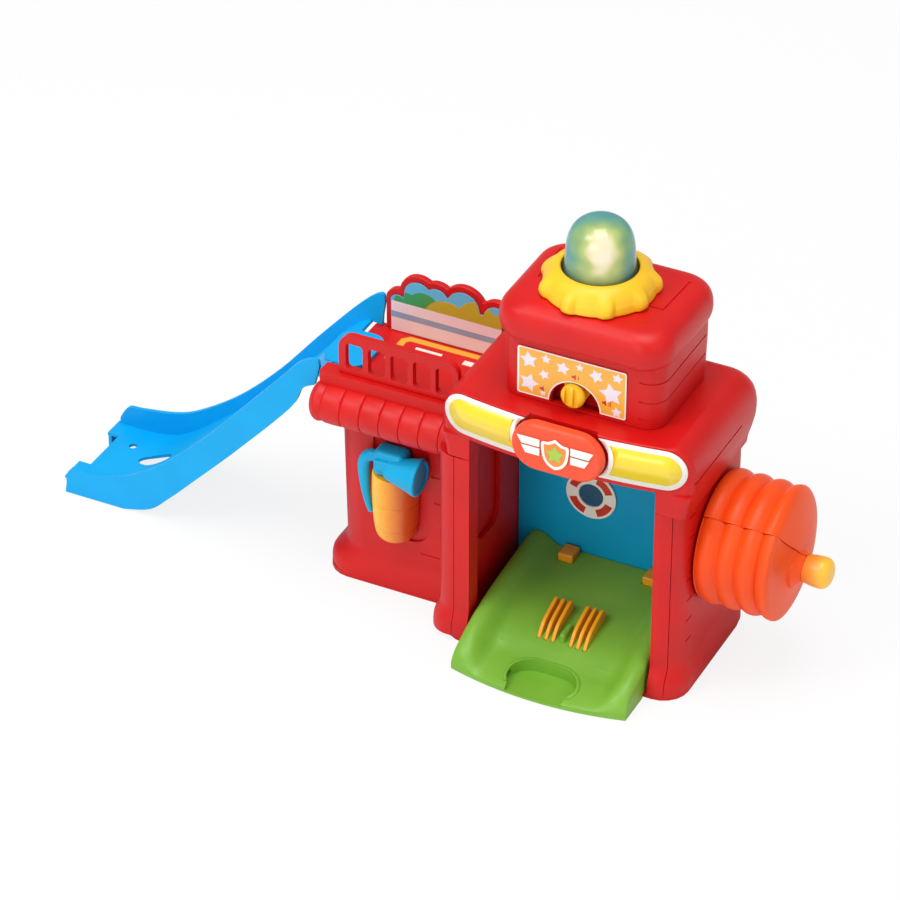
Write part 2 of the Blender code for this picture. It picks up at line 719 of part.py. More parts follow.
def spring_points(centre, radius, length):
    """Upright helix between two seats, as a list of points."""
    count = SPRING_TURNS * SPRING_STEPS
    points = []
    for i in range(count + 1):
        angle = 2 * math.pi * i / SPRING_STEPS
        rise = SPRING_WIRE + (length - 2 * SPRING_WIRE) * i / count
        points.append((centre[0] + radius * math.cos(angle), centre[1] + radius * math.sin(angle),
                       centre[2] + rise))
    return points


def garage_outline(grow=0.0, extra=0.0):
    """Plan of the garage walls, grown outwards."""
    half = GARAGE_HALF_WIDTH + grow + extra
    return rounded_outline(-half, half, GARAGE_FRONT - grow - extra, GARAGE_BACK + grow + extra,
                           GARAGE_CORNER + grow + extra)


def garage_layers(top, extra=0.0):
    """Garage walls with their flared foot, up to the given height."""
    start = BASE_THICKNESS + CLEARANCE
    layers = [(garage_outline(GARAGE_FLARE * flare, extra), start + FOOT_RISE * rise)
              for rise, flare in FLARE_SHARES]
    return layers + [(garage_outline(0.0, extra), top)]


def block_outline(flare, grow=0.0):
    """Plan of the left block, open-ended to the right."""
    right = -GARAGE_HALF_WIDTH + BLOCK_CORNER + FOOT_FLARE
    return rounded_outline(BLOCK_LEFT - BLOCK_FLARE_LEFT * flare - grow, right,
                           BLOCK_FRONT - FOOT_FLARE * flare - grow, BLOCK_BACK + FOOT_FLARE * flare + grow,
                           BLOCK_CORNER + grow)


def base_plate():
    """Flat bottom cover under both blocks, with the battery opening and screw holes."""
    garage = garage_outline(GARAGE_FLARE - BASE_INSET)
    plate = slab("base_plate", "XY", [garage], 0.0, BASE_THICKNESS)
    block = slab("base_plate_wing", "XY", [block_outline(1.0, -BASE_INSET)], 0.0, BASE_THICKNESS)
    join(plate, block)
    low, high = battery_space()
    cut(plate, box("battery_opening", (low[0], low[1], -OVERRUN), (high[0], high[1], OVERRUN)))
    for number, (x, y) in enumerate(screw_places()):
        cut(plate, cylinder(f"screw_hole_{number}", (x, y, -OVERRUN), (x, y, OVERRUN),
                            SCREW_RADIUS + CLEARANCE, steps=12))
        cut(plate, cylinder(f"screw_sink_{number}", (x, y, -OVERRUN), (x, y, SCREW_SINK),
                            SCREW_HEAD_RADIUS + CLEARANCE, steps=12))
    return finish(plate, RED)


def screw_places():
    """Plan places of the base screws: two in the garage's back corners, two in the block's left corners."""
    reach = BLOCK_POST_REACH
    corner_x = BLOCK_LEFT + BLOCK_CORNER
    return ((GARAGE_POST_X, GARAGE_POST_Y), (-GARAGE_POST_X, GARAGE_POST_Y),
            (corner_x - reach * 0.8, BLOCK_FRONT + BLOCK_CORNER - reach * 0.6),
            (corner_x - reach * 0.8, BLOCK_BACK - BLOCK_CORNER + reach * 0.6))


def screw_post(name, place):
    """Post that a base screw bites into."""
    x, y = place
    return cylinder(name, (x, y, BASE_THICKNESS + CLEARANCE), (x, y, BASE_THICKNESS + POST_HEIGHT), POST_RADIUS,
                    steps=16)


def screw_bore(name, place):
    """Hole down the middle of a post."""
    x, y = place
    return cylinder(name, (x, y, -OVERRUN), (x, y, BASE_THICKNESS + POST_HEIGHT - SCREW_RADIUS),
                    SCREW_RADIUS + CLEARANCE, steps=12)


def base_screws():
    """Countersunk screws that hold the base plate."""
    seat = SCREW_SINK - CLEARANCE
    for number, (x, y) in enumerate(screw_places(), 1):
        profile = ((0.0, seat + SCREW_LENGTH), (SCREW_RADIUS / 2, seat + SCREW_LENGTH),
                   (SCREW_RADIUS, seat + SCREW_LENGTH - SCREW_RADIUS), (SCREW_RADIUS, seat),
                   (SCREW_HEAD_RADIUS, seat), (SCREW_HEAD_RADIUS, seat - SCREW_HEAD / 2),
                   (SCREW_HEAD_RADIUS - SCREW_HEAD / 2, seat - SCREW_HEAD), (0.0, seat - SCREW_HEAD))
        screw = turned(f"base_screw_{number}", profile, (x, y, 0.0), steps=12)
        finish(screw, METAL, 0.3, 1.0)


def garage_walls():
    """Outer walls of the garage: both sides and the back, flared at the foot."""
    walls = stacked("garage_walls", garage_layers(ROOF_BOTTOM - CLEARANCE))
    cut(walls, box("garage_inside", (-SEAM_HALF_WIDTH, GARAGE_FRONT - OVERRUN, -OVERRUN),
                   (SEAM_HALF_WIDTH, GARAGE_BACK - SHELL_WALL, ROOF_TOP)))
    for number, place in enumerate(screw_places()[:2]):
        join(walls, screw_post(f"garage_post_{number}", place))
        cut(walls, screw_bore(f"garage_bore_{number}", place))
    for number in range(GRILLE_SLOTS):
        z = SPEAKER_Z + GRILLE_PITCH * (number - (GRILLE_SLOTS - 1) / 2)
        slot = slab(f"grille_slot_{number}", "XZ",
                    [rounded_outline(-GRILLE_SLOT_LENGTH / 2, GRILLE_SLOT_LENGTH / 2, z - GRILLE_SLOT_WIDTH / 2,
                                     z + GRILLE_SLOT_WIDTH / 2, GRILLE_SLOT_WIDTH / 2, 3)],
                    GARAGE_BACK - OVERRUN, GARAGE_BACK + OVERRUN)
        cut(walls, slot)
    return finish(walls, RED)


def garage_liner():
    """Door frame and inner walls of the garage, one moulding under the roof."""
    outer = SEAM_HALF_WIDTH - CLEARANCE
    liner = stacked("garage_liner", garage_layers(ROOF_BOTTOM - CLEARANCE))
    back = PANEL_FRONT + PANEL_THICKNESS + CEILING
    keep(liner, box("liner_limits", (-outer, GARAGE_FRONT - OVERRUN, 0.0), (outer, back, ROOF_TOP)))
    front = SIGN_CAVITY_FRONT + CLEARANCE
    join(liner, box("liner_top", (-outer, front, ROOF_BOTTOM - OVERRUN), (outer, back, BAY_HEIGHT + CEILING)))
    jamb_back = GARAGE_FRONT + JAMB_DEPTH
    cut(liner,
        box("doorway", (-DOOR_HALF_WIDTH, GARAGE_FRONT - OVERRUN, -OVERRUN), (DOOR_HALF_WIDTH, 0.0, BAY_HEIGHT)),
        box("bay", (-BAY_HALF_WIDTH, jamb_back, -OVERRUN), (BAY_HALF_WIDTH, GARAGE_BACK, BAY_HEIGHT)),
        slab("wall_window", "YZ",
             [rounded_outline(WINDOW_FRONT, WINDOW_FRONT + WINDOW_LENGTH, WINDOW_BOTTOM, WINDOW_TOP,
                              WINDOW_LENGTH / 3)],
             -SEAM_HALF_WIDTH - OVERRUN, -BAY_HALF_WIDTH + OVERRUN))
    return finish(liner, RED)


def roof_layers():
    """Garage roof: a lip that swells out, a rounded top and a bowed sign face at the front."""
    height = ROOF_TOP - ROOF_BOTTOM
    layers = []
    step = (BAY_HEIGHT - ROOF_BOTTOM) / height
    shares = [(rise, inset, rise > step) for rise, inset in ROOF_SHARES]
    shares += [(step - CLEARANCE / height, ROOF_SHARES[2][1], False), (step, ROOF_SHARES[2][1], True)]
    for rise, inset, is_sign in sorted(shares):
        half = GARAGE_HALF_WIDTH + ROOF_OVERHANG - ROOF_ROUND * inset
        back = GARAGE_BACK + ROOF_OVERHANG - ROOF_ROUND * inset
        front = SIGN_FRONT if is_sign else GARAGE_FRONT
        if rise == 1.0:
            front += ROOF_ROUND / 10
        outline = rounded_outline(-half, half, front, back, ROOF_ROUND, front_steps=SIGN_STEPS,
                                  front_radius=ROOF_FRONT_CORNER)
        bow = SIGN_BOW if is_sign else 0.0
        plan = bowed(outline, bow, GARAGE_HALF_WIDTH + ROOF_OVERHANG, front, back)
        layers.append(([(x + ROOF_X, y) for x, y in plan], ROOF_BOTTOM + height * rise))
    return layers


def garage_roof():
    """Hollow roof cap of the garage with the sign face and the pocket of the badge button."""
    roof = stacked("garage_roof", roof_layers())
    pocket = rounded_outline(SIGN_X - BADGE_WIDTH / 2 - CLEARANCE, SIGN_X + BADGE_WIDTH / 2 + CLEARANCE,
                             SIGN_CENTRE_Z - BADGE_HEIGHT / 2 - 4 * CLEARANCE,
                             SIGN_CENTRE_Z + BADGE_HEIGHT / 2 + 4 * CLEARANCE, BADGE_HEIGHT / 2)
    stem_x = BADGE_STEM_WIDTH / 2 + CLEARANCE
    stem_z = BADGE_STEM_HEIGHT / 2 + CLEARANCE
    cut(roof,
        box("roof_inside", (-SEAM_HALF_WIDTH, SIGN_CAVITY_FRONT, -OVERRUN),
            (SEAM_HALF_WIDTH, GARAGE_BACK - SHELL_WALL, ROOF_TOP - ROOF_THICKNESS)),
        box("roof_doorway", (-DOOR_HALF_WIDTH, SIGN_FRONT - OVERRUN, -OVERRUN), (DOOR_HALF_WIDTH, 0.0, BAY_HEIGHT)),
        slab("badge_pocket", "XZ", [pocket], SIGN_FRONT - OVERRUN, BADGE_POCKET_FLOOR),
        box("badge_hole", (SIGN_X - stem_x, SIGN_FRONT - OVERRUN, SIGN_CENTRE_Z - stem_z),
            (SIGN_X + stem_x, SIGN_CAVITY_FRONT + OVERRUN, SIGN_CENTRE_Z + stem_z)))
    return finish(roof, RED)


def sign_strip(x):
    """Curve of the sign face at a distance from the middle."""
    half = GARAGE_HALF_WIDTH + ROOF_OVERHANG
    return SIGN_FRONT + SIGN_BOW * ((x - ROOF_X) / half) ** 2


def sign_stickers():
    """Two stadium-ended strips that follow the bowed sign face."""
    inner = BADGE_WIDTH / 2 + 2 * CLEARANCE
    radius = SIGN_STRIP_HEIGHT / 2
    for side, name in ((-1, "sign_sticker_left"), (1, "sign_sticker_right")):
        stations = [ROOF_X + SIGN_STRIP_END * (i / SIGN_STEPS - 1) for i in range(2 * SIGN_STEPS + 1)]
        outer = [(x, sign_strip(x) - CLEARANCE - STICKER) for x in stations]
        back = [(x, sign_strip(x) - CLEARANCE) for x in reversed(stations)]
        strip = slab(name, "XY", [outer + back], SIGN_CENTRE_Z - radius, SIGN_CENTRE_Z + radius)
        face = rounded_outline(ROOF_X - SIGN_STRIP_END, ROOF_X + SIGN_STRIP_END, SIGN_CENTRE_Z - radius,
                               SIGN_CENTRE_Z + radius, radius - CLEARANCE)
        keep(strip, slab(name + "_face", "XZ", [face], SIGN_FRONT - OVERRUN, SIGN_FRONT + OVERRUN))
        low_x, high_x = sorted((SIGN_X + side * inner, -side * SIGN_STRIP_END * 2))
        cut(strip, box(name + "_cut", (low_x, SIGN_FRONT - OVERRUN, ROOF_BOTTOM),
                       (high_x, 0.0, ROOF_TOP + OVERRUN)))
        finish(strip, YELLOW)


def badge_button():
    """Pill-shaped push button with its stem and catches behind the sign."""
    pill = slab("badge_button", "XZ",
                [rounded_outline(SIGN_X - BADGE_WIDTH / 2, SIGN_X + BADGE_WIDTH / 2,
                                 SIGN_CENTRE_Z - BADGE_HEIGHT / 2, SIGN_CENTRE_Z + BADGE_HEIGHT / 2,
                                 BADGE_HEIGHT / 2 - CLEARANCE)],
                BADGE_FRONT, BADGE_BACK)
    rounded(pill, BADGE_ROUND)
    half_x = BADGE_STEM_WIDTH / 2
    half_z = BADGE_STEM_HEIGHT / 2
    catch = SIGN_CAVITY_FRONT + CLEARANCE
    join(pill,
         box("badge_stem", (SIGN_X - half_x, BADGE_BACK - BADGE_ROUND, SIGN_CENTRE_Z - half_z),
             (SIGN_X + half_x, catch + BADGE_CATCH_DEPTH, SIGN_CENTRE_Z + half_z)),
         box("badge_catch", (SIGN_X - half_x - BADGE_CATCH, catch, SIGN_CENTRE_Z - half_z - BADGE_CATCH),
             (SIGN_X + half_x + BADGE_CATCH, catch + BADGE_CATCH_DEPTH,
              SIGN_CENTRE_Z + half_z + BADGE_CATCH)))
    return finish(pill, ORANGE)


def badge_emblem():
    """Plain winged shield on the button."""
    right = [(u * EMBLEM_WIDTH, SIGN_CENTRE_Z + v * EMBLEM_HEIGHT) for u, v in EMBLEM_SHARES]
    left = [(-x, z) for x, z in reversed(right[1:-1])]
    front = BADGE_FRONT - CLEARANCE - STICKER
    outline = [(x + SIGN_X, z) for x, z in right + left]
    return finish(slab("badge_emblem", "XZ", [outline], front, BADGE_FRONT - CLEARANCE), WHITE)


def badge_switch():
    """Small push switch on the board; its plunger is reached at the end of the button's travel."""
    back = BADGE_BOARD_FRONT - CLEARANCE
    tip = SIGN_CAVITY_FRONT + CLEARANCE + BADGE_CATCH_DEPTH + BADGE_TRAVEL + CLEARANCE
    half = BADGE_SWITCH_SIZE / 2
    switch = box("badge_switch", (SIGN_X - half, back - BADGE_SWITCH_DEPTH, SIGN_CENTRE_Z - half),
                 (SIGN_X + half, back, SIGN_CENTRE_Z + half))
    join(switch, cylinder("badge_plunger", (SIGN_X, back - BADGE_SWITCH_DEPTH / 2, SIGN_CENTRE_Z),
                          (SIGN_X, tip, SIGN_CENTRE_Z), BADGE_PLUNGER_RADIUS, steps=12))
    return finish(switch, BLACK, 0.5)


def badge_board():
    """Switch board behind the button, standing on the garage ceiling."""
    bottom = BAY_HEIGHT + CEILING + CLEARANCE
    board = box("badge_board", (SIGN_X - BADGE_BOARD_WIDTH / 2, BADGE_BOARD_FRONT, bottom),
                (SIGN_X + BADGE_BOARD_WIDTH / 2, BADGE_BOARD_FRONT + BOARD, bottom + BADGE_BOARD_HEIGHT))
    return finish(board, BOARD_GREEN, 0.5)


def tower_walls():
    """Square tower tube with the arch slot and the pivot pin of the volume switch."""
    layers = []
    foot = ROOF_TOP + CLEARANCE
    for rise, inset in ((0.0, 1.0), (0.3, 0.4), (0.7, 0.0), (1.0, 0.0)):
        less = TOWER_FOOT_INSET * inset
        half = TOWER_HALF_WIDTH - less
        layers.append((rounded_outline(TOWER_X - half, TOWER_X + half, TOWER_FRONT, TOWER_BACK - less,
                                       TOWER_CORNER), foot + (TOWER_TOP - foot) * rise))
    tower = stacked("tower_walls", layers)
    inner = TOWER_HALF_WIDTH - TOWER_WALL
    hollow = rounded_outline(TOWER_X - inner, TOWER_X + inner, TOWER_FRONT + TOWER_WALL,
                             TOWER_BACK - TOWER_WALL, TOWER_CORNER - TOWER_WALL)
    wall_back = TOWER_FRONT + TOWER_WALL
    cut(tower, slab("tower_inside", "XY", [hollow], ROOF_TOP - OVERRUN, TOWER_TOP + OVERRUN),
        slab("arch_slot", "XZ", [arch_outline(SWITCH_SLOT_RADIUS)], TOWER_FRONT - OVERRUN, wall_back + CLEARANCE))
    bridge = SWITCH_PIN_RADIUS + CLEARANCE
    join(tower,
         box("pin_bridge", (SWITCH_X - bridge, wall_back - TOWER_WALL / 2, ROOF_TOP + 2 * CLEARANCE),
             (SWITCH_X + bridge, wall_back - CLEARANCE, SWITCH_Z)),
         cylinder("switch_pin", (SWITCH_X, wall_back - TOWER_WALL / 2, SWITCH_Z),
                  (SWITCH_X, wall_back + 2 * SWITCH_SECTOR_THICKNESS, SWITCH_Z), SWITCH_PIN_RADIUS, steps=12))
    return finish(tower, RED)


def arch_outline(radius):
    """Half circle on a short straight foot, seen from the front."""
    foot = ROOF_TOP + TOWER_FOOT_INSET + 2 * CLEARANCE
    arc = [(SWITCH_X + radius * math.cos(math.pi * i / 14), SWITCH_Z + radius * math.sin(math.pi * i / 14))
           for i in range(15)]
    return [(SWITCH_X + radius, foot)] + arc + [(SWITCH_X - radius, foot)]


def volume_switch():
    """Sector that swings on the pin, with a round knob through the arch slot."""
    front = TOWER_FRONT + TOWER_WALL + CLEARANCE
    back = front + SWITCH_SECTOR_THICKNESS
    half = SWITCH_SECTOR_HALF_ANGLE
    arc = [(SWITCH_X + SWITCH_SECTOR_RADIUS * math.sin(half * (1 - i / 5)),
            SWITCH_Z + SWITCH_SECTOR_RADIUS * math.cos(half * (1 - i / 5))) for i in range(11)]
    outline = [(SWITCH_X + SWITCH_HUB_RADIUS, SWITCH_Z)] + arc + [(SWITCH_X - SWITCH_HUB_RADIUS, SWITCH_Z)]
    sector = slab("volume_switch", "XZ", [outline], front, back)
    knob_z = SWITCH_Z + SWITCH_KNOB_REACH
    knob_back = TOWER_FRONT - STICKER - 2 * CLEARANCE
    knob_front = knob_back - SWITCH_KNOB_PROUD
    knob = cylinder("switch_knob", (SWITCH_X, knob_back, knob_z), (SWITCH_X, knob_front, knob_z),
                    SWITCH_KNOB_RADIUS, steps=24)
    rounded(knob, SWITCH_KNOB_PROUD / 4)
    join(sector,
         cylinder("switch_hub", (SWITCH_X, front, SWITCH_Z), (SWITCH_X, back, SWITCH_Z), SWITCH_HUB_RADIUS,
                  steps=16),
         cylinder("switch_neck", (SWITCH_X, knob_back - SWITCH_KNOB_PROUD / 2, knob_z),
                  (SWITCH_X, front + SWITCH_SECTOR_THICKNESS / 2, knob_z), SWITCH_NECK_RADIUS, steps=16),
         knob)
    groove = SWITCH_GRIP_WIDTH / 2
    cut(sector,
        cylinder("switch_bore", (SWITCH_X, front - OVERRUN, SWITCH_Z), (SWITCH_X, back + OVERRUN, SWITCH_Z),
                 SWITCH_PIN_RADIUS + CLEARANCE, steps=12),
        box("switch_groove", (SWITCH_X - groove, knob_front - OVERRUN, knob_z - SWITCH_KNOB_RADIUS * 0.72),
            (SWITCH_X + groove, knob_front + SWITCH_KNOB_PROUD / 4, knob_z + SWITCH_KNOB_RADIUS * 0.72)))
    return finish(sector, YELLOW)


def volume_board():
    """Contact board behind the switch, standing on the roof."""
    bottom = ROOF_TOP + CLEARANCE
    front = TOWER_FRONT + TOWER_WALL + 2 * SWITCH_SECTOR_THICKNESS + CLEARANCE
    board = box("volume_board", (SWITCH_X - SWITCH_BOARD_WIDTH / 2, front, bottom),
                (SWITCH_X + SWITCH_BOARD_WIDTH / 2, front + BOARD, bottom + SWITCH_BOARD_HEIGHT))
    return finish(board, BOARD_GREEN, 0.5)


def tower_sticker():
    """Front panel sticker round the arch slot."""
    frame = [(PANEL_STICKER_LEFT, PANEL_STICKER_BOTTOM), (PANEL_STICKER_RIGHT, PANEL_STICKER_BOTTOM),
             (PANEL_STICKER_RIGHT, PANEL_STICKER_TOP), (PANEL_STICKER_LEFT, PANEL_STICKER_TOP)]
    sticker = slab("tower_sticker", "XZ", [frame], TOWER_FRONT - CLEARANCE - STICKER, TOWER_FRONT - CLEARANCE)
    cut(sticker, slab("sticker_arch", "XZ", [arch_outline(SWITCH_SLOT_RADIUS + 2 * CLEARANCE)],
                      TOWER_FRONT - OVERRUN, TOWER_FRONT + OVERRUN))
    return finish(sticker, YELLOW)


def cap_outline(inset):
    """Plan of the tower cap, drawn in all round."""
    half = TOWER_HALF_WIDTH + CAP_OVERHANG - inset
    return rounded_outline(TOWER_X - half, TOWER_X + half, CAP_CENTRE_Y - CAP_HALF_DEPTH + inset,
                           CAP_CENTRE_Y + CAP_HALF_DEPTH - inset, CAP_CORNER - inset / 4)


def tower_cap():
    """Pillow-shaped lid of the tower with the beacon's hole and two panel seams."""
    foot = TOWER_TOP + CLEARANCE
    cap = stacked("tower_cap", [(cap_outline(CAP_ROUND * inset), foot + (CAP_TOP - foot) * rise)
                                for rise, inset in CAP_SHARES])
    seat = TOWER_HALF_WIDTH - RIM_SEAT
    hollow = rounded_outline(TOWER_X - seat, TOWER_X + seat, TOWER_FRONT + RIM_SEAT, TOWER_BACK - RIM_SEAT,
                             TOWER_CORNER)
    cut(cap, slab("cap_inside", "XY", [hollow], TOWER_TOP - OVERRUN, CAP_TOP - CAP_ROOF),
        cylinder("beacon_hole", (BEACON_X, BEACON_Y, TOWER_TOP), (BEACON_X, BEACON_Y, CAP_TOP + OVERRUN),
                 DOME_HOLE_RADIUS))
    for side in (-1, 1):
        x = TOWER_X + side * CAP_SEAM_X
        cut(cap, box(f"cap_seam_{side}", (x - CAP_SEAM_WIDTH / 2, CAP_SEAM_FRONT, CAP_TOP - CAP_SEAM_DEPTH),
                     (x + CAP_SEAM_WIDTH / 2, CAP_SEAM_BACK, CAP_TOP + OVERRUN)))
    return finish(cap, RED)


def beacon_collar():
    """Yellow ring with a scalloped, sloping rim round the beacon."""
    bottom = CAP_TOP + CLEARANCE
    height = COLLAR_TOP - bottom
    bm = bmesh.new()
    rings = []
    for step in range(COLLAR_STEPS):
        angle = 2 * math.pi * step / COLLAR_STEPS
        wave = COLLAR_WAVE * math.cos(COLLAR_LOBES * angle)
        points = [((COLLAR_RADIUS + wave) * share, bottom + height * rise)
                  for share, rise in COLLAR_HEIGHT_SHARES]
        points += [(COLLAR_BORE, COLLAR_TOP), (COLLAR_BORE, COLLAR_POCKET_TOP),
                   (COLLAR_POCKET, COLLAR_POCKET_TOP), (COLLAR_POCKET, bottom)]
        rings.append([bm.verts.new((BEACON_X + r * math.cos(angle), BEACON_Y + r * math.sin(angle), z))
                      for r, z in points])
    for ring, following in zip(rings, rings[1:] + rings[:1]):
        for i in range(len(ring)):
            j = (i + 1) % len(ring)
            bm.faces.new((ring[i], ring[j], following[j], following[i]))
    return finish(from_bmesh("beacon_collar", bm), YELLOW)


def beacon_dome():
    """Translucent beacon cover with the flange and skirt that guide it through the cap."""
    shoulder = DOME_TOP - DOME_SHOULDER_RADIUS
    outer = [(DOME_SHOULDER_RADIUS * math.sin(math.pi / 2 * i / DOME_ARC_STEPS),
              shoulder + DOME_SHOULDER_RADIUS * math.cos(math.pi / 2 * i / DOME_ARC_STEPS))
             for i in range(DOME_ARC_STEPS + 1)]
    outer[0] = (0.0, DOME_TOP)
    flange_top = COLLAR_POCKET_TOP - CLEARANCE
    body = [(DOME_RADIUS, flange_top), (DOME_FLANGE_RADIUS, flange_top), (DOME_FLANGE_RADIUS, DOME_FLANGE_BOTTOM),
            (DOME_SKIRT_RADIUS, DOME_FLANGE_BOTTOM), (DOME_SKIRT_RADIUS, DOME_SKIRT_BOTTOM)]
    inner_radius = DOME_SHOULDER_RADIUS - DOME_WALL
    inner = [(DOME_SKIRT_RADIUS - DOME_WALL, DOME_SKIRT_BOTTOM), (DOME_SKIRT_RADIUS - DOME_WALL, flange_top),
             (inner_radius, flange_top + DOME_WALL)]
    inner += [(inner_radius * math.cos(math.pi / 2 * i / DOME_ARC_STEPS),
               shoulder + inner_radius * math.sin(math.pi / 2 * i / DOME_ARC_STEPS))
              for i in range(DOME_ARC_STEPS + 1)]
    inner[-1] = (0.0, DOME_TOP - DOME_WALL)
    dome = turned("beacon_dome", outer + body + inner, (BEACON_X, BEACON_Y, 0.0))
    return finish(dome, TEAL, 0.15)


def lamp_tray():
    """Board tray across the top of the tower, under the cap."""
    seat = TOWER_HALF_WIDTH - RIM_SEAT - CLEARANCE
    outline = rounded_outline(TOWER_X - seat, TOWER_X + seat, TOWER_FRONT + RIM_SEAT + CLEARANCE,
                              TOWER_BACK - RIM_SEAT - CLEARANCE, TOWER_CORNER)
    tray = slab("lamp_tray", "XY", [outline], TOWER_TOP + CLEARANCE, TOWER_TOP + CLEARANCE + BOARD)
    return finish(tray, WHITE)


def beacon_lamp():
    """Lamp on the tray, inside the beacon."""
    foot = TOWER_TOP + 2 * CLEARANCE + BOARD
    top = foot + LAMP_HEIGHT
    profile = [(LAMP_RADIUS * math.sin(math.pi / 2 * i / 4),
                top - LAMP_RADIUS + LAMP_RADIUS * math.cos(math.pi / 2 * i / 4)) for i in range(5)]
    profile[0] = (0.0, top)
    profile += [(LAMP_RADIUS, foot + LAMP_FOOT_HEIGHT), (LAMP_FOOT_RADIUS, foot + LAMP_FOOT_HEIGHT),
                (LAMP_FOOT_RADIUS, foot), (0.0, foot)]
    return finish(turned("beacon_lamp", profile, (BEACON_X, BEACON_Y, 0.0), steps=16), WHITE, 0.2)


def dome_spring():
    """Return spring of the beacon, on the lamp tray."""
    foot = TOWER_TOP + 2 * CLEARANCE + BOARD
    length = DOME_SKIRT_BOTTOM - CLEARANCE - foot
    points = spring_points((BEACON_X, BEACON_Y, foot), DOME_SPRING_RADIUS + SPRING_WIRE, length)
    return finish(tube("dome_spring", points, SPRING_WIRE, 1), METAL, 0.3, 1.0)


def block_walls():
    """Walls of the left block, open to the garage, with the extinguisher's shallow recess."""
    start = BASE_THICKNESS + CLEARANCE
    layers = [(block_outline(flare), start + FOOT_RISE * rise) for rise, flare in FLARE_SHARES]
    walls = stacked("block_walls", layers + [(block_outline(0.0), DECK_BOTTOM - CLEARANCE)])
    recess = rounded_outline(RECESS_LEFT, RECESS_RIGHT, RECESS_BOTTOM, RECESS_TOP, RECESS_CORNER)
    seam = -GARAGE_HALF_WIDTH - CLEARANCE
    cut(walls,
        slab("block_inside", "XY", [block_outline(0.0, -SHELL_WALL)], -OVERRUN, DECK_TOP + OVERRUN),
        box("block_end", (seam, BLOCK_FRONT - OVERRUN, -OVERRUN), (0.0, BLOCK_BACK + OVERRUN, DECK_TOP)),
        stacked("garage_foot_space", garage_layers(DECK_TOP, CLEARANCE)),
        box("roof_lip_space", (ROOF_LINE_X, BLOCK_FRONT - OVERRUN, ROOF_BOTTOM - 2 * CLEARANCE),
            (0.0, BLOCK_BACK + OVERRUN, DECK_TOP + OVERRUN)),
        slab("extinguisher_recess", "XZ", [recess], BLOCK_FRONT - OVERRUN, BLOCK_FRONT + RECESS_DEPTH))
    for number, place in enumerate(screw_places()[2:]):
        join(walls, screw_post(f"block_post_{number}", place))
        cut(walls, screw_bore(f"block_bore_{number}", place))
    return finish(walls, RED)


def deck_plate():
    """Roof deck of the left block, with the hole for the slide's peg."""
    outline = rounded_outline(DECK_LEFT, ROOF_LINE_X, BLOCK_FRONT, BLOCK_BACK, DECK_CORNER)
    deck = slab("deck_plate", "XY", [outline], DECK_BOTTOM, DECK_TOP)
    y = slide_middle()
    cut(deck, cylinder("peg_hole", (SLIDE_PEG_X, y, DECK_BOTTOM - OVERRUN), (SLIDE_PEG_X, y, DECK_TOP + OVERRUN),
                       SLIDE_PEG_RADIUS + CLEARANCE, steps=16))
    return finish(deck, RED)


def roof_edge():
    """Roll of roof tiles and the ledge above it."""
    right = ROOF_LINE_X
    back = BLOCK_FRONT - CLEARANCE
    step = DECK_TOP + CLEARANCE
    ledge_outline = [(LEDGE_FRONT, LEDGE_BOTTOM), (back, LEDGE_BOTTOM), (back, step), (LEDGE_BACK, step),
                     (LEDGE_BACK, LEDGE_TOP - LEDGE_ROUND / 2), (LEDGE_BACK - LEDGE_ROUND / 2, LEDGE_TOP),
                     (LEDGE_FRONT + LEDGE_ROUND, LEDGE_TOP), (LEDGE_FRONT + LEDGE_ROUND * 0.3,
                                                              LEDGE_TOP - LEDGE_ROUND * 0.3),
                     (LEDGE_FRONT, LEDGE_TOP - LEDGE_ROUND)]
    edge = slab("roof_edge", "YZ", [ledge_outline], LEDGE_LEFT, right)
    length = right - CLEARANCE - TILE_LEFT
    profile = [(0.0, length), (TILE_RADIUS, length)]
    for number in range(TILE_COUNT, 0, -1):
        place = TILE_PITCH * number - TILE_GROOVE_WIDTH
        profile += [(TILE_RADIUS, place + TILE_GROOVE_WIDTH / 2), (TILE_RADIUS - TILE_GROOVE_DEPTH, place),
                    (TILE_RADIUS, place - TILE_GROOVE_WIDTH / 2)]
    profile += [(TILE_RADIUS * math.cos(math.pi / 2 * i / 4),
                 TILE_RADIUS / 2 * (1 - math.sin(math.pi / 2 * i / 4))) for i in range(5)]
    profile[-1] = (0.0, 0.0)
    roll = turned("tile_roll", profile, (TILE_LEFT, TILE_Y, TILE_Z), "X", steps=24)
    cut(roll,
        box("roll_back", (TILE_LEFT - OVERRUN, back - CLEARANCE, TILE_Z - 2 * TILE_RADIUS),
            (0.0, 0.0, TILE_Z + 2 * TILE_RADIUS)),
        box("slide_wall_space", (TILE_LEFT - OVERRUN, SLIDE_FRONT - CLEARANCE, TILE_Z - 2 * TILE_RADIUS),
            (LEDGE_LEFT, 0.0, TILE_Z + 2 * TILE_RADIUS)))
    join(edge, roll)
    return finish(edge, RED)


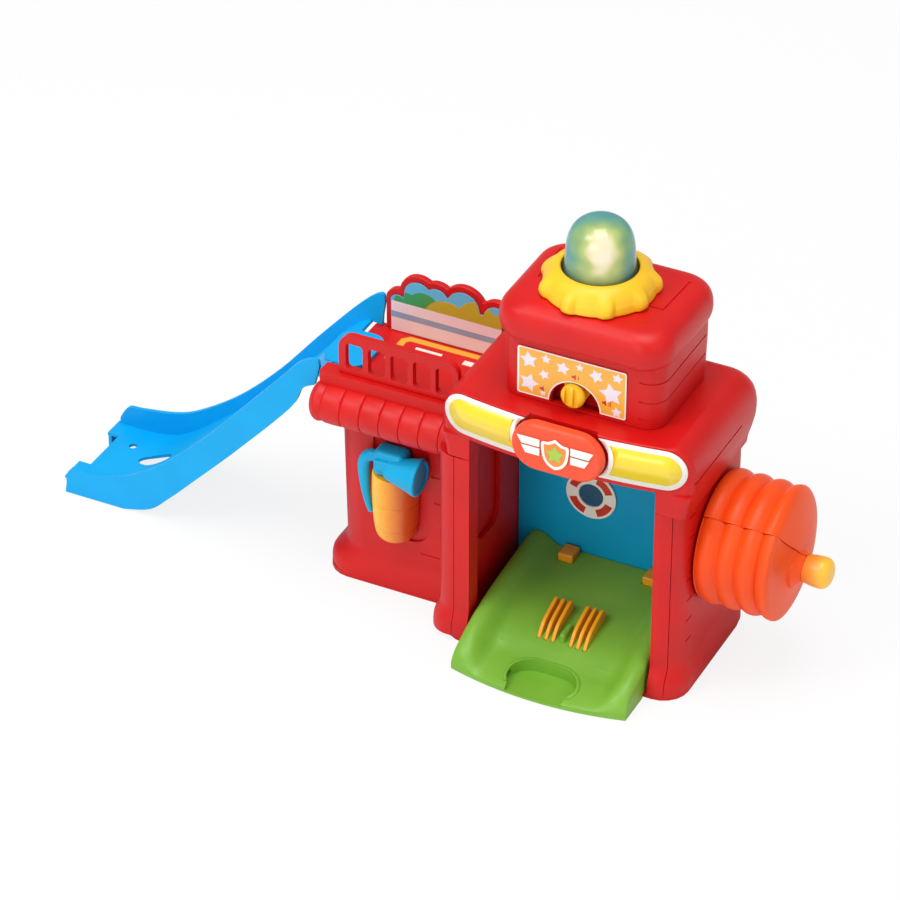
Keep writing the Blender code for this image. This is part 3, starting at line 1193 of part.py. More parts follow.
def railing():
    """Railing on the ledge, with an outline that rounds at the left end and one hole per gap."""
    bottom = LEDGE_TOP + CLEARANCE
    outer = [(RAILING_LEFT, bottom), (ROOF_LINE_X, bottom), (ROOF_LINE_X, RAILING_TOP)]
    centre = (RAILING_LEFT + RAILING_ROUND, RAILING_TOP - RAILING_ROUND)
    outer += [(centre[0] + RAILING_ROUND * math.cos(math.pi / 2 * (1 + i / 5)),
               centre[1] + RAILING_ROUND * math.sin(math.pi / 2 * (1 + i / 5))) for i in range(6)]
    loops = [outer]
    last = ROOF_LINE_X - (RAILING_PITCH - RAILING_GAP)
    for number in range(RAILING_GAPS):
        right = last - RAILING_PITCH * number
        loops.append(rounded_outline(right - RAILING_GAP, right, bottom + RAILING_FOOT, RAILING_TOP - RAILING_RAIL,
                                     RAILING_FOOT / 3, 2))
    rail = slab("railing", "XZ", loops, RAILING_FRONT, RAILING_FRONT + RAILING_THICKNESS)
    return finish(rail, RED)


def cloud_height(x, lower=0.0):
    """Height of the scalloped top edge at a place along the board."""
    heights = [DECK_TOP + CLOUD_RIM * 2]
    width = ROOF_LINE_X - CLOUD_LEFT
    for place, height, size in CLOUD_LOBE_SHARES:
        centre = CLOUD_LEFT + width * place
        top = DECK_TOP + CLOUD_HEIGHT * height
        radius = CLOUD_HEIGHT * size - lower
        if abs(x - centre) < radius:
            heights.append(top - lower - radius + math.sqrt(radius ** 2 - (x - centre) ** 2))
    return max(heights)


def cloud_outline(inset, foot):
    """Closed outline of the board, drawn in by the inset."""
    left = CLOUD_LEFT + inset
    right = ROOF_LINE_X - inset
    top = [(right + (left - right) * i / CLOUD_STEPS, 0.0) for i in range(CLOUD_STEPS + 1)]
    return [(left, foot), (right, foot)] + [(x, cloud_height(x, inset)) for x, _ in top]


def cloud_board():
    """Scalloped back board standing on the deck, and its sticker."""
    foot = DECK_TOP + CLEARANCE
    board = slab("cloud_board", "XZ", [cloud_outline(0.0, foot)], CLOUD_FRONT, CLOUD_BACK)
    finish(board, RED)
    sticker = slab("cloud_sticker", "XZ", [cloud_outline(CLOUD_RIM, foot)], CLOUD_FRONT - CLEARANCE - STICKER,
                   CLOUD_FRONT - CLEARANCE)
    finish(sticker, WHITE)


def ramp_arc(x, y):
    """Forward bulge of the ramp's front edge, which fades out up the ramp."""
    fade = max(0.0, (RAMP_ARC_BACK - y) / (RAMP_ARC_BACK - RAMP_SECTIONS[0][0]))
    return y - RAMP_ARC * (1 - (x / RAMP_HALF_WIDTH) ** 2) * fade


def deck_height(y):
    """Height of the ramp's running surface at a depth."""
    for (y0, z0, _), (y1, z1, _) in zip(RAMP_SECTIONS, RAMP_SECTIONS[1:]):
        if y <= y1:
            return z0 + (z1 - z0) * (y - y0) / (y1 - y0)
    return RAMP_SECTIONS[-1][1]


def ramp_outline(deck, rail, bottom):
    """Cross-section of the ramp: flat running surface between two raised rails."""
    half = RAMP_HALF_WIDTH
    edge = RAMP_EDGE
    deck_edge = half - RAMP_RAIL - RAMP_BANK
    right = [(half, bottom), (half, rail - edge), (half - edge, rail), (half - RAMP_RAIL + edge, rail),
             (half - RAMP_RAIL, rail - edge / 4), (deck_edge, deck)]
    line = [(deck_edge * (1 - 2 * i / RAMP_STEPS), deck) for i in range(1, RAMP_STEPS)]
    base = [(half * (2 * i / RAMP_STEPS - 1), bottom) for i in range(1, RAMP_STEPS)]
    return right + line + [(-x, z) for x, z in reversed(right)] + base


def ramp():
    """Ramp that runs out of the doorway, hollow underneath, with slots for the ribs and the stops."""
    base_front = GARAGE_FRONT - GARAGE_FLARE - CLEARANCE
    over_base = BASE_THICKNESS + CLEARANCE
    layers = []
    for y, deck, rail in RAMP_SECTIONS:
        if layers and y > base_front > layers[-1][1]:
            step_deck = deck_height(base_front)
            step_rail = step_deck + rail - deck
            layers.append((ramp_outline(step_deck, step_rail, 0.0), base_front - CLEARANCE))
            layers.append((ramp_outline(step_deck, step_rail, over_base), base_front))
        layers.append((ramp_outline(deck, rail, over_base if y > base_front else 0.0), y))
    body = stacked("ramp", layers, lambda u, v, w: (u, ramp_arc(u, w), v))
    inner = RAMP_HALF_WIDTH - RAMP_SKIN
    hollow = []
    for y, deck, _ in RAMP_SECTIONS[2:-1]:
        top = deck - RAMP_SKIN
        hollow.append(([(-inner, -OVERRUN), (inner, -OVERRUN), (inner, top), (-inner, top)], y))
    hollow.append(([(-inner, -OVERRUN), (inner, -OVERRUN), (inner, RAMP_SECTIONS[-1][1] - RAMP_SKIN),
                    (-inner, RAMP_SECTIONS[-1][1] - RAMP_SKIN)], RAMP_BACK - RAMP_SKIN))
    guide = box("centre_guide", (-GUIDE_WIDTH / 2, GUIDE_FRONT, deck_height(GUIDE_FRONT) - RAMP_SKIN / 2),
                (GUIDE_WIDTH / 2, GUIDE_BACK, deck_height(GUIDE_FRONT) + GUIDE_HEIGHT))
    join(body, rounded(guide, GUIDE_WIDTH / 5))
    cut(body, stacked("ramp_hollow", hollow, front_to_back),
        slab("connector_notch", "XY", [notch_outline()], NOTCH_FLOOR, RAMP_SECTIONS[3][2] + OVERRUN))
    for number, x in enumerate(rib_places()):
        half = RIB_WIDTH / 2 + CLEARANCE
        cut(body, box(f"rib_slot_{number}", (x - half, RIB_FRONT - CLEARANCE, BASE_THICKNESS),
                      (x + half, RIB_BACK + CLEARANCE, BAY_HEIGHT)))
    bar_side = STOP_OUTER + CLEARANCE
    cut(body, box("stop_bar_slot", (-bar_side, STOP_FRONT - CLEARANCE, 0.0),
                  (bar_side, RAMP_BACK + OVERRUN, over_base + STOP_BAR + CLEARANCE)))
    for side in (-1, 1):
        low, high = sorted((side * (STOP_INNER - CLEARANCE), side * bar_side))
        cut(body, box(f"stop_slot_{side}", (low, STOP_FRONT - CLEARANCE, 0.0),
                      (high, STOP_BACK + OVERRUN, BAY_HEIGHT)))
    return finish(body, GREEN)


def notch_outline():
    """Bulb and neck of the track connector, open at the front of the ramp."""
    radius = NOTCH_BACK - NOTCH_BULB_Y
    right = [(NOTCH_NECK, RAMP_SECTIONS[0][0] - RAMP_ARC - OVERRUN), (NOTCH_NECK, NOTCH_NECK_Y),
             (NOTCH_BULB, NOTCH_BULB_Y)]
    right += [(NOTCH_BULB - radius / 2 + radius / 2 * math.cos(math.pi / 2 * i / 4),
               NOTCH_BULB_Y + radius * math.sin(math.pi / 2 * i / 4)) for i in range(1, 5)]
    return right + [(-x, y) for x, y in reversed(right)]


def rib_places():
    """Middle of each rib across the ramp, in two groups of three."""
    return [group + RIB_PITCH * step for group in (-RIB_GROUP_X, RIB_GROUP_X) for step in (-1, 0, 1)]


def rib_insert():
    """Comb of six ribs on one plate, standing on the base plate under the ramp."""
    bottom = BASE_THICKNESS + CLEARANCE
    half = RIB_GROUP_X + RIB_PITCH + RIB_WIDTH
    insert = box("rib_insert", (-half, RIB_FRONT, bottom), (half, RIB_BACK, bottom + RIB_PLATE))
    outline = [(RIB_FRONT, bottom + RIB_PLATE / 2)] + list(RIB_TOPS) + [(RIB_BACK, bottom + RIB_PLATE / 2)]
    for number, x in enumerate(rib_places()):
        join(insert, slab(f"rib_{number}", "YZ", [outline], x - RIB_WIDTH / 2, x + RIB_WIDTH / 2))
    return finish(insert, ORANGE)


def wheel_stop():
    """Bar with two stops that stand through the back of the ramp."""
    bottom = BASE_THICKNESS + CLEARANCE
    bar = bottom + STOP_BAR
    outline = [(-STOP_OUTER, bottom), (STOP_OUTER, bottom), (STOP_OUTER, STOP_TOP), (STOP_INNER, STOP_TOP),
               (STOP_INNER, bar), (-STOP_INNER, bar), (-STOP_INNER, STOP_TOP), (-STOP_OUTER, STOP_TOP)]
    return finish(slab("wheel_stop", "XZ", [outline], STOP_FRONT, STOP_BACK), YELLOW)


def back_panel():
    """Blue wall at the back of the garage."""
    half = BAY_HALF_WIDTH - CLEARANCE
    panel = box("back_panel", (-half, PANEL_FRONT, BASE_THICKNESS + CLEARANCE),
                (half, PANEL_FRONT + PANEL_THICKNESS, BAY_HEIGHT - CLEARANCE))
    return finish(panel, BLUE)


def life_ring():
    """Life ring on the back panel."""
    y = PANEL_FRONT - CLEARANCE
    outer = [(RING_X + RING_RADIUS * math.cos(2 * math.pi * i / ROUND_STEPS),
              RING_Z + RING_RADIUS * math.sin(2 * math.pi * i / ROUND_STEPS)) for i in range(ROUND_STEPS)]
    inner = [(RING_X + (x - RING_X) * RING_BORE / RING_RADIUS, RING_Z + (z - RING_Z) * RING_BORE / RING_RADIUS)
             for x, z in outer]
    return finish(slab("life_ring", "XZ", [outer, inner], y - RING_THICKNESS, y), WHITE)


def slide_middle():
    """Depth of the slide's centre line."""
    return (SLIDE_FRONT + SLIDE_BACK) / 2


def slide_curve(shares):
    """Smooth outline from shares of the slide's run and of its floor height."""
    return smooth_line([(SLIDE_JOIN_X - SLIDE_RUN * u, SLIDE_FLOOR_TOP * w) for u, w in shares])


def slide():
    """Slide from the deck to the floor: a channel with a connector end and a tongue that hooks the deck."""
    floor_line = slide_curve(SLIDE_FLOOR_SHARES)
    lower = offset_line(floor_line, SLIDE_FLOOR)
    body = slab("slide", "XZ", [floor_line + lower[::-1]], SLIDE_FRONT + CLEARANCE, SLIDE_BACK - CLEARANCE)
    end_x = SLIDE_JOIN_X - SLIDE_RUN
    near = [(end_x, 0.0)] + slide_curve(SLIDE_BOTTOM_SHARES) + slide_curve(NEAR_RIM_SHARES)
    far = [(end_x, 0.0)] + slide_curve(FAR_FOOT_SHARES) + slide_curve(FAR_RIM_SHARES)
    middle = slide_middle()
    half = SLIDE_LIP_WIDTH / 2
    deck_side = DECK_LEFT - CLEARANCE
    under = DECK_TOP + CLEARANCE
    join(body,
         slab("slide_near_wall", "XZ", [near], SLIDE_FRONT, SLIDE_FRONT + SLIDE_WALL),
         slab("slide_far_wall", "XZ", [far], SLIDE_BACK - SLIDE_WALL, SLIDE_BACK),
         box("slide_end_wall", (end_x + CLEARANCE, SLIDE_FRONT + SLIDE_WALL / 2, CLEARANCE),
             (end_x + SLIDE_WALL, SLIDE_BACK - SLIDE_WALL / 2, SLIDE_FLOOR_TOP * SLIDE_FLOOR_SHARES[0][1]
              - SLIDE_FLOOR / 2)),
         slab("slide_tongue", "XY",
              [rounded_outline(SLIDE_JOIN_X - SLIDE_LIP, SLIDE_TONGUE_END, middle - half, middle + half,
                               SLIDE_LIP)], under, SLIDE_FLOOR_TOP),
         box("slide_lip", (deck_side - SLIDE_WALL, middle - half, DECK_TOP - SLIDE_LIP),
             (deck_side, middle + half, (under + SLIDE_FLOOR_TOP) / 2)),
         cylinder("slide_peg", (SLIDE_PEG_X, middle, DECK_BOTTOM - CLEARANCE),
                  (SLIDE_PEG_X, middle, (under + SLIDE_FLOOR_TOP) / 2), SLIDE_PEG_RADIUS, steps=16))
    hole = [(SLIDE_HOLE_X + SLIDE_HOLE_LENGTH / 2 * math.cos(2 * math.pi * i / 20),
             middle + SLIDE_HOLE_WIDTH / 2 * math.sin(2 * math.pi * i / 20)) for i in range(20)]
    cut(body,
        slab("slide_hole", "XY", [hole], -OVERRUN, SLIDE_FLOOR_TOP),
        box("slide_notch", (end_x - OVERRUN, SLIDE_NOTCH_FRONT, -OVERRUN),
            (end_x + SLIDE_NOTCH_DEPTH, SLIDE_NOTCH_BACK, SLIDE_FLOOR_TOP)),
        cylinder("slide_key_hole", (SLIDE_KEY_X, SLIDE_KEY_Y, -OVERRUN), (SLIDE_KEY_X, SLIDE_KEY_Y, SLIDE_FLOOR_TOP),
                 SLIDE_KEY_RADIUS, steps=12))
    return finish(body, BLUE)


def offset_line(line, distance):
    """Copy of a line moved to its underside by a distance."""
    moved = []
    for i, (x, z) in enumerate(line):
        ahead = line[min(i + 1, len(line) - 1)]
        behind = line[max(i - 1, 0)]
        along = Vector((ahead[0] - behind[0], ahead[1] - behind[1])).normalized()
        side = Vector((along.y, -along.x)) if along.x > 0 else Vector((-along.y, along.x))
        moved.append((x + side.x * distance, z + side.y * distance))
    return moved


def reel_start():
    """Distance of the reel's back face from the middle of the garage."""
    return GARAGE_HALF_WIDTH + CLEARANCE + AXLE_FLANGE + CLEARANCE


def reel_profile(shift):
    """Turned profile of the wound hose, from the free end back to the wall."""
    start = reel_start()
    end = start + REEL_PITCH * REEL_RINGS
    tip = end + REEL_END_LENGTH
    points = [(0.0, tip), (REEL_END_RADIUS, tip), (REEL_CREST - REEL_DIP * 3, end)]
    count = REEL_RINGS * REEL_RING_STEPS
    for i in range(count, -1, -1):
        x = start + REEL_PITCH * i / REEL_RING_STEPS
        phase = (x - start - shift) / REEL_PITCH
        crest = abs(math.sin(math.pi * phase))
        points.append((REEL_CREST - REEL_DIP * (1 - math.sqrt(crest)), x))
    points += [(0.0, start)]
    return points


def reel_half(name, shift, side):
    """One half shell of the hose reel, from a full turned body parted on a sloping plane."""
    start = reel_start()
    end = start + REEL_PITCH * REEL_RINGS
    half = turned(name, reel_profile(shift), (0.0, REEL_Y, REEL_Z), "X")
    inner = start + REEL_BACK_WALL
    reach = REEL_CREST * 2
    gap = CLEARANCE / 2
    low, high = (-reach, gap) if side > 0 else (-gap, reach)
    split = box(name + "_split", (0.0, -reach, low), (end + reach, reach, high))
    split.location = (0.0, REEL_Y, REEL_Z)
    split.rotation_euler = (-REEL_TURN, 0.0, 0.0)
    bpy.context.view_layer.update()
    peg_y, peg_z = nozzle_place()
    cut(half,
        cylinder(name + "_hollow", (inner, REEL_Y, REEL_Z), (end - REEL_SHELL / 2, REEL_Y, REEL_Z),
                 REEL_CREST - REEL_DIP - REEL_SHELL, steps=24),
        cylinder(name + "_bore", (start - OVERRUN, REEL_Y, REEL_Z), (inner + OVERRUN / 2, REEL_Y, REEL_Z),
                 AXLE_NECK_RADIUS + CLEARANCE, steps=20),
        cylinder(name + "_peg_hole", (end, peg_y, peg_z), (end + 2 * REEL_END_LENGTH, peg_y, peg_z),
                 NOZZLE_RADIUS / 2 + CLEARANCE, steps=16),
        split)
    return finish(half, ORANGE)


def nozzle_place():
    """Depth and height of the nozzle, off the reel's axis like a crank."""
    return REEL_Y - NOZZLE_DROP * math.sin(REEL_TURN), REEL_Z - NOZZLE_DROP * math.cos(REEL_TURN)


def reel_nozzle():
    """Yellow nozzle knob that turns the reel."""
    tip = reel_start() + REEL_PITCH * REEL_RINGS + REEL_END_LENGTH + CLEARANCE
    end = tip + NOZZLE_LENGTH
    profile = [(0.0, end)]
    profile += [(NOZZLE_RADIUS - NOZZLE_ROUND + NOZZLE_ROUND * math.sin(math.pi / 2 * i / 4),
                 end - NOZZLE_ROUND + NOZZLE_ROUND * math.cos(math.pi / 2 * i / 4)) for i in range(5)]
    profile += [(NOZZLE_RADIUS * 0.88, tip), (NOZZLE_RADIUS / 2, tip), (NOZZLE_RADIUS / 2, tip - REEL_END_LENGTH),
                (0.0, tip - REEL_END_LENGTH)]
    return finish(turned("reel_nozzle", profile, (0.0, *nozzle_place()), "X", steps=24), YELLOW)


def reel_axle():
    """Fixed axle of the reel: flange on the wall, neck in the reel's back wall, head inside."""
    foot = GARAGE_HALF_WIDTH + CLEARANCE
    head = reel_start() + REEL_BACK_WALL + CLEARANCE
    profile = [(0.0, head + AXLE_HEAD), (AXLE_HEAD_RADIUS, head + AXLE_HEAD), (AXLE_HEAD_RADIUS, head),
               (AXLE_NECK_RADIUS, head), (AXLE_NECK_RADIUS, foot + AXLE_FLANGE),
               (AXLE_FLANGE_RADIUS, foot + AXLE_FLANGE), (AXLE_FLANGE_RADIUS, foot), (0.0, foot)]
    return finish(turned("reel_axle", profile, (0.0, REEL_Y, REEL_Z), "X", steps=20), RED)


def bottle_profile(grow=0.0):
    """Turned profile of the extinguisher's bottle."""
    height = BOTTLE_TOP - BOTTLE_BOTTOM
    return [((BOTTLE_RADIUS + grow) * u if u else 0.0, BOTTLE_BOTTOM + height * v + (grow if v == 1.0 else 0.0))
            for u, v in BOTTLE_SHARES]


def hose_line():
    """Points of the extinguisher's hose, from the head down beside the bottle."""
    return [(HOSE_START - HOSE_REACH * u, HOSE_Y, HOSE_TOP - HOSE_DROP * v) for u, v in HOSE_SHARES]


def extinguisher():
    """Bottle, valve head with its horn, and hose, on the front wall of the left block."""
    wall = BLOCK_FRONT + RECESS_DEPTH - CLEARANCE
    bottle = turned("extinguisher_bottle", bottle_profile(), (BOTTLE_X, BOTTLE_Y, 0.0), steps=24)
    cut(bottle, box("bottle_back", (BOTTLE_X - OVERRUN * 2, wall, 0.0), (BOTTLE_X + OVERRUN * 2, 0.0, BAY_HEIGHT)))
    finish(bottle, YELLOW)
    bottom = BOTTLE_TOP + CLEARANCE
    head = box("extinguisher_head", (BOTTLE_X - HEAD_WIDTH / 2, wall - HEAD_DEPTH, bottom),
               (BOTTLE_X + HEAD_WIDTH / 2, wall, bottom + HEAD_HEIGHT))
    rounded(head, HEAD_ROUND)
    join(head, cylinder("horn", (HORN_START, HORN_Y, HORN_Z), (HORN_END, HORN_Y, HORN_Z), HORN_SMALL, HORN_LARGE,
                        steps=24))
    cut(head,
        cylinder("horn_mouth", (HORN_END - OVERRUN / 3, HORN_Y, HORN_Z), (HORN_END + OVERRUN, HORN_Y, HORN_Z),
                 HORN_SMALL, HORN_LARGE + OVERRUN / 4, steps=24),
        turned("bottle_space", bottle_profile(CLEARANCE), (BOTTLE_X, BOTTLE_Y, 0.0), steps=24),
        box("head_back", (BOTTLE_X - OVERRUN * 2, wall, 0.0), (BOTTLE_X + OVERRUN * 3, 0.0, BAY_HEIGHT)))
    finish(head, BLUE)
    finish(tube("extinguisher_hose", hose_line(), HOSE_RADIUS), BLUE)


def battery_space():
    """Corners in plan of the battery opening."""
    half_x = BATTERY_LENGTH / 2 + BATTERY_TERMINAL + CONTACT_THICKNESS + CONTACT_GAP
    half_y = BATTERY_PITCH / 2 + BATTERY_RADIUS + CONTACT_GAP
    return (BATTERY_X - half_x, BATTERY_Y - half_y), (BATTERY_X + half_x, BATTERY_Y + half_y)


def battery_box():
    """Tray over the battery opening, with its door, two cells and two contact plates."""
    low, high = battery_space()
    foot = BASE_THICKNESS + CLEARANCE
    top = BASE_THICKNESS + 2 * CLEARANCE + 2 * BATTERY_RADIUS + CLEARANCE
    tray = box("battery_tray", (low[0] - TRAY_WALL, low[1] - TRAY_WALL, foot),
               (high[0] + TRAY_WALL, high[1] + TRAY_WALL, top + TRAY_WALL))
    cut(tray, box("tray_inside", (low[0], low[1], -OVERRUN), (high[0], high[1], top)))
    finish(tray, BLACK)
    door = box("battery_door", (low[0] + CLEARANCE, low[1] + CLEARANCE, 0.0),
               (high[0] - CLEARANCE, high[1] - CLEARANCE, BASE_THICKNESS))
    finish(door, RED)
    z = BASE_THICKNESS + CLEARANCE + BATTERY_RADIUS
    for number, side in enumerate((-1, 1), 1):
        half = BATTERY_LENGTH / 2
        profile = [(0.0, half + BATTERY_TERMINAL), (BATTERY_TERMINAL_RADIUS, half + BATTERY_TERMINAL),
                   (BATTERY_TERMINAL_RADIUS, half), (BATTERY_RADIUS, half), (BATTERY_RADIUS, -half), (0.0, -half)]
        cell = turned(f"battery_{number}", profile, (BATTERY_X, BATTERY_Y + side * BATTERY_PITCH / 2, z), "X",
                      steps=16)
        finish(cell, METAL, 0.3, 0.8)
        x = BATTERY_X + side * (half + BATTERY_TERMINAL + CLEARANCE)
        near, far = sorted((x, x + side * CONTACT_THICKNESS))
        contact = box(f"battery_contact_{number}", (near, low[1] + CLEARANCE, foot),
                      (far, high[1] - CLEARANCE, top - CLEARANCE))
        finish(contact, METAL, 0.3, 1.0)


def speaker():
    """Speaker against the grille in the back wall."""
    wall = GARAGE_BACK - SHELL_WALL - CLEARANCE
    profile = [(0.0, 0.0), (SPEAKER_RADIUS, 0.0), (SPEAKER_RADIUS, -SPEAKER_FLANGE),
               (SPEAKER_MAGNET_RADIUS, -SPEAKER_FLANGE * 1.5),
               (SPEAKER_MAGNET_RADIUS, -SPEAKER_FLANGE - SPEAKER_MAGNET), (0.0, -SPEAKER_FLANGE - SPEAKER_MAGNET)]
    thing = turned("speaker", profile, (0.0, 0.0, 0.0), steps=24)
    thing.rotation_euler = (-math.pi / 2, 0.0, 0.0)
    thing.location = (0.0, wall, SPEAKER_Z)
    return finish(thing, BLACK, 0.5)


def main_board():
    """Sound board on the back of the blue panel."""
    front = PANEL_FRONT + PANEL_THICKNESS + CLEARANCE
    board = box("main_board", (-MAIN_BOARD_WIDTH / 2, front, MAIN_BOARD_BOTTOM),
                (MAIN_BOARD_WIDTH / 2, front + BOARD, MAIN_BOARD_BOTTOM + MAIN_BOARD_HEIGHT))
    return finish(board, BOARD_GREEN, 0.5)


def shade_smooth_parts():
    """Smooth shading with sharp edges kept, on every part."""
    for thing in bpy.data.collections[PARTS].objects:
        thing.data.shade_smooth()
        thing.data.set_sharp_from_angle(angle=math.radians(35.0))


def main():
    """Build every part."""
    clear_scene()
    base_plate()
    base_screws()
    garage_walls()
    garage_liner()
    garage_roof()
    sign_stickers()
    badge_button()
    badge_emblem()
    badge_switch()
    badge_board()
    tower_walls()
    volume_switch()
    volume_board()
    tower_sticker()
    tower_cap()
    beacon_collar()
    beacon_dome()
    lamp_tray()
    beacon_lamp()
    dome_spring()
    block_walls()
    deck_plate()
    roof_edge()
    railing()
    cloud_board()
    ramp()
    rib_insert()
    wheel_stop()
    back_panel()
    life_ring()
    slide()
    reel_half("reel_upper_half", 0.0, 1)
    reel_half("reel_lower_half", -REEL_PITCH / 4, -1)
    reel_nozzle()
    reel_axle()
    extinguisher()
    battery_box()
    speaker()
    main_board()
    shade_smooth_parts()


if __name__ == "__main__":
    main()
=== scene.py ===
"""Looks of a toy fire station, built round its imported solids.

Every size below is in millimetres, in the solids' own frame: X to the right along the front,
Y to the back, Z up.
"""

import logging
import math
from collections.abc import Callable, Iterable, Iterator, Sequence
from contextlib import contextmanager
from dataclasses import dataclass
from enum import Enum

import bmesh
import bpy
from mathutils import Matrix, Vector

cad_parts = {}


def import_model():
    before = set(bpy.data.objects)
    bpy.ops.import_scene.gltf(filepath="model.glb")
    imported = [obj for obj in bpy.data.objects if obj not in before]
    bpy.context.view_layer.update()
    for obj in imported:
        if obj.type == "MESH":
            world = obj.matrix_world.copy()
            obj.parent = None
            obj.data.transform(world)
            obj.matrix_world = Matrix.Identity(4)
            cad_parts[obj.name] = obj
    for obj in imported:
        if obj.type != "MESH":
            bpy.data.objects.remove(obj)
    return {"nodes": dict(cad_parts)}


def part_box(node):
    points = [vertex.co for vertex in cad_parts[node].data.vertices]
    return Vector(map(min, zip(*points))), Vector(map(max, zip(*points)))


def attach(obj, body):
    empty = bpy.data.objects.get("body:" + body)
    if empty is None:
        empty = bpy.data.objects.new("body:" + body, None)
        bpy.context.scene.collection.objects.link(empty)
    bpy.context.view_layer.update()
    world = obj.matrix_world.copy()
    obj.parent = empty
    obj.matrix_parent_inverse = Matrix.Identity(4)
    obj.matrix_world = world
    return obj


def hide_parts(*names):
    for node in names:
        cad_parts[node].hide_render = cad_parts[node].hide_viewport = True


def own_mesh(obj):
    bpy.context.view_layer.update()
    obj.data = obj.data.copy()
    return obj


LOG = logging.getLogger("fire_station")

MM = 0.001
GAP = 0.3
OVERRUN = 10.0
PRINT = 0.06
COURSE = 0.45
QUARTER = math.pi / 2

Point = tuple[float, float]
Place = tuple[float, float, float]
Value = bpy.types.NodeSocket | float


class Plane(Enum):
    """Plane in which a flat outline is drawn: the matrix that stands it up, and its normal."""

    FLOOR = (((1, 0, 0), (0, 1, 0), (0, 0, 1)), (0, 0, 1))
    FRONT = (((1, 0, 0), (0, 0, -1), (0, 1, 0)), (0, 1, 0))
    SIDE = (((0, 0, 1), (1, 0, 0), (0, 1, 0)), (1, 0, 0))


class Element(Enum):
    """What an edit-mode selection picks."""

    POINT = "VERT"
    EDGE = "EDGE"
    FACE = "FACE"


def rounded_rectangle(left: float, right: float, low: float, high: float, radius: float,
                      steps: int = 8) -> list[Point]:
    """Anticlockwise outline of a rectangle with round corners.

    Args:
        left: Lowest first coordinate.
        right: Highest first coordinate.
        low: Lowest second coordinate.
        high: Highest second coordinate.
        radius: Corner radius.
        steps: Straight pieces in each corner.

    Returns:
        The outline's points.
    """
    corners = ((left + radius, low + radius, 2), (right - radius, low + radius, 3),
               (right - radius, high - radius, 0), (left + radius, high - radius, 1))
    turns = [(x, y, (quarter + step / steps) * QUARTER) for x, y,
             quarter in corners for step in range(steps + 1)]
    return [(x + radius * math.cos(angle), y + radius * math.sin(angle)) for x, y, angle in turns]


def ring(x: float, y: float, radius_x: float, radius_y: float, steps: int = 48) -> list[Point]:
    """Anticlockwise ellipse.

    Args:
        x: First coordinate of the centre.
        y: Second coordinate of the centre.
        radius_x: Half its width.
        radius_y: Half its height.
        steps: Number of points.

    Returns:
        The outline's points.
    """
    return [(x + radius_x * math.cos(2 * math.pi * i / steps), y + radius_y * math.sin(2 * math.pi * i / steps))
            for i in range(steps)]


def arc(x: float, y: float, radius: float, start: float, sweep: float, steps: int) -> list[Point]:
    """Part of a circle, both ends included.

    Args:
        x: First coordinate of the centre.
        y: Second coordinate of the centre.
        radius: Radius.
        start: Angle of the first point in radians.
        sweep: Angle from the first point to the last.
        steps: Straight pieces.

    Returns:
        The points of the arc.
    """
    return [(x + radius * math.cos(start + sweep * i / steps), y + radius * math.sin(start + sweep * i / steps))
            for i in range(steps + 1)]


def star(x: float, z: float, size: float, turn: float) -> list[Point]:
    """Five-pointed star with slightly blunt points.

    Args:
        x: Centre across.
        z: Centre height.
        size: Radius of its points.
        turn: Turn in degrees.

    Returns:
        The outline's points.
    """
    spokes = [(size if i % 2 == 0 else size * 0.52, math.radians(90.0 + turn + 36.0 * i)) for i in range(10)]
    return [(x + radius * math.cos(angle), z + radius * math.sin(angle)) for radius, angle in spokes]


def smooth_line(points: Sequence[Sequence[float]], steps: int = 6) -> list[tuple[float, ...]]:
    """Smooth curve through points of any dimension.

    Args:
        points: Points that the curve passes through.
        steps: Pieces between two of them.

    Returns:
        The points of the curve, both ends included.
    """
    padded = [points[0], *points, points[-1]]
    line = []
    for a, b, c, d in zip(padded, padded[1:], padded[2:], padded[3:]):
        for step in range(steps):
            t = step / steps
            line.append(tuple(0.5 * (2 * q + (r - p) * t + (2 * p - 5 * q + 4 * r - s) * t ** 2
                                     + (3 * q - p - 3 * r + s) * t ** 3)
                              for p, q, r, s in zip(a, b, c, d)))
    line.append(tuple(points[-1]))
    return line


def link_object(name: str, data: bpy.types.ID) -> bpy.types.Object:
    """New object in the scene that shows a mesh, curve, light or camera."""
    thing = bpy.data.objects.new(name, data)
    bpy.context.scene.collection.objects.link(thing)
    return thing


@dataclass(frozen=True)
class Layer:
    """One level of a column: its height and the rectangle round its plan."""

    z: float
    left: float
    right: float
    front: float
    back: float


def linear(code: str) -> tuple[float, float, float, float]:
    """Linear colour of an sRGB hex value."""
    parts = [int(code[i:i + 2], 16) / 255 for i in (1, 3, 5)]
    return (*(c / 12.92 if c <= 0.04045 else ((c + 0.055) / 1.055) ** 2.4 for c in parts), 1.0)


def add_node(tree: bpy.types.NodeTree, kind: str, inputs: dict[str | int, object] | None = None,
             **settings: object) -> bpy.types.Node:
    """Add a node with its settings, values and links.

    Args:
        tree: Tree that takes the node.
        kind: Blender's name of the node, without its first word.
        inputs: Value or output socket for each input.
        settings: Properties of the node.

    Returns:
        The node.
    """
    made = tree.nodes.new("ShaderNode" + kind)
    for key, value in settings.items():
        setattr(made, key, value)
    for key, value in (inputs or {}).items():
        if isinstance(value, bpy.types.NodeSocket):
            tree.links.new(value, made.inputs[key])
        else:
            made.inputs[key].default_value = value
    return made


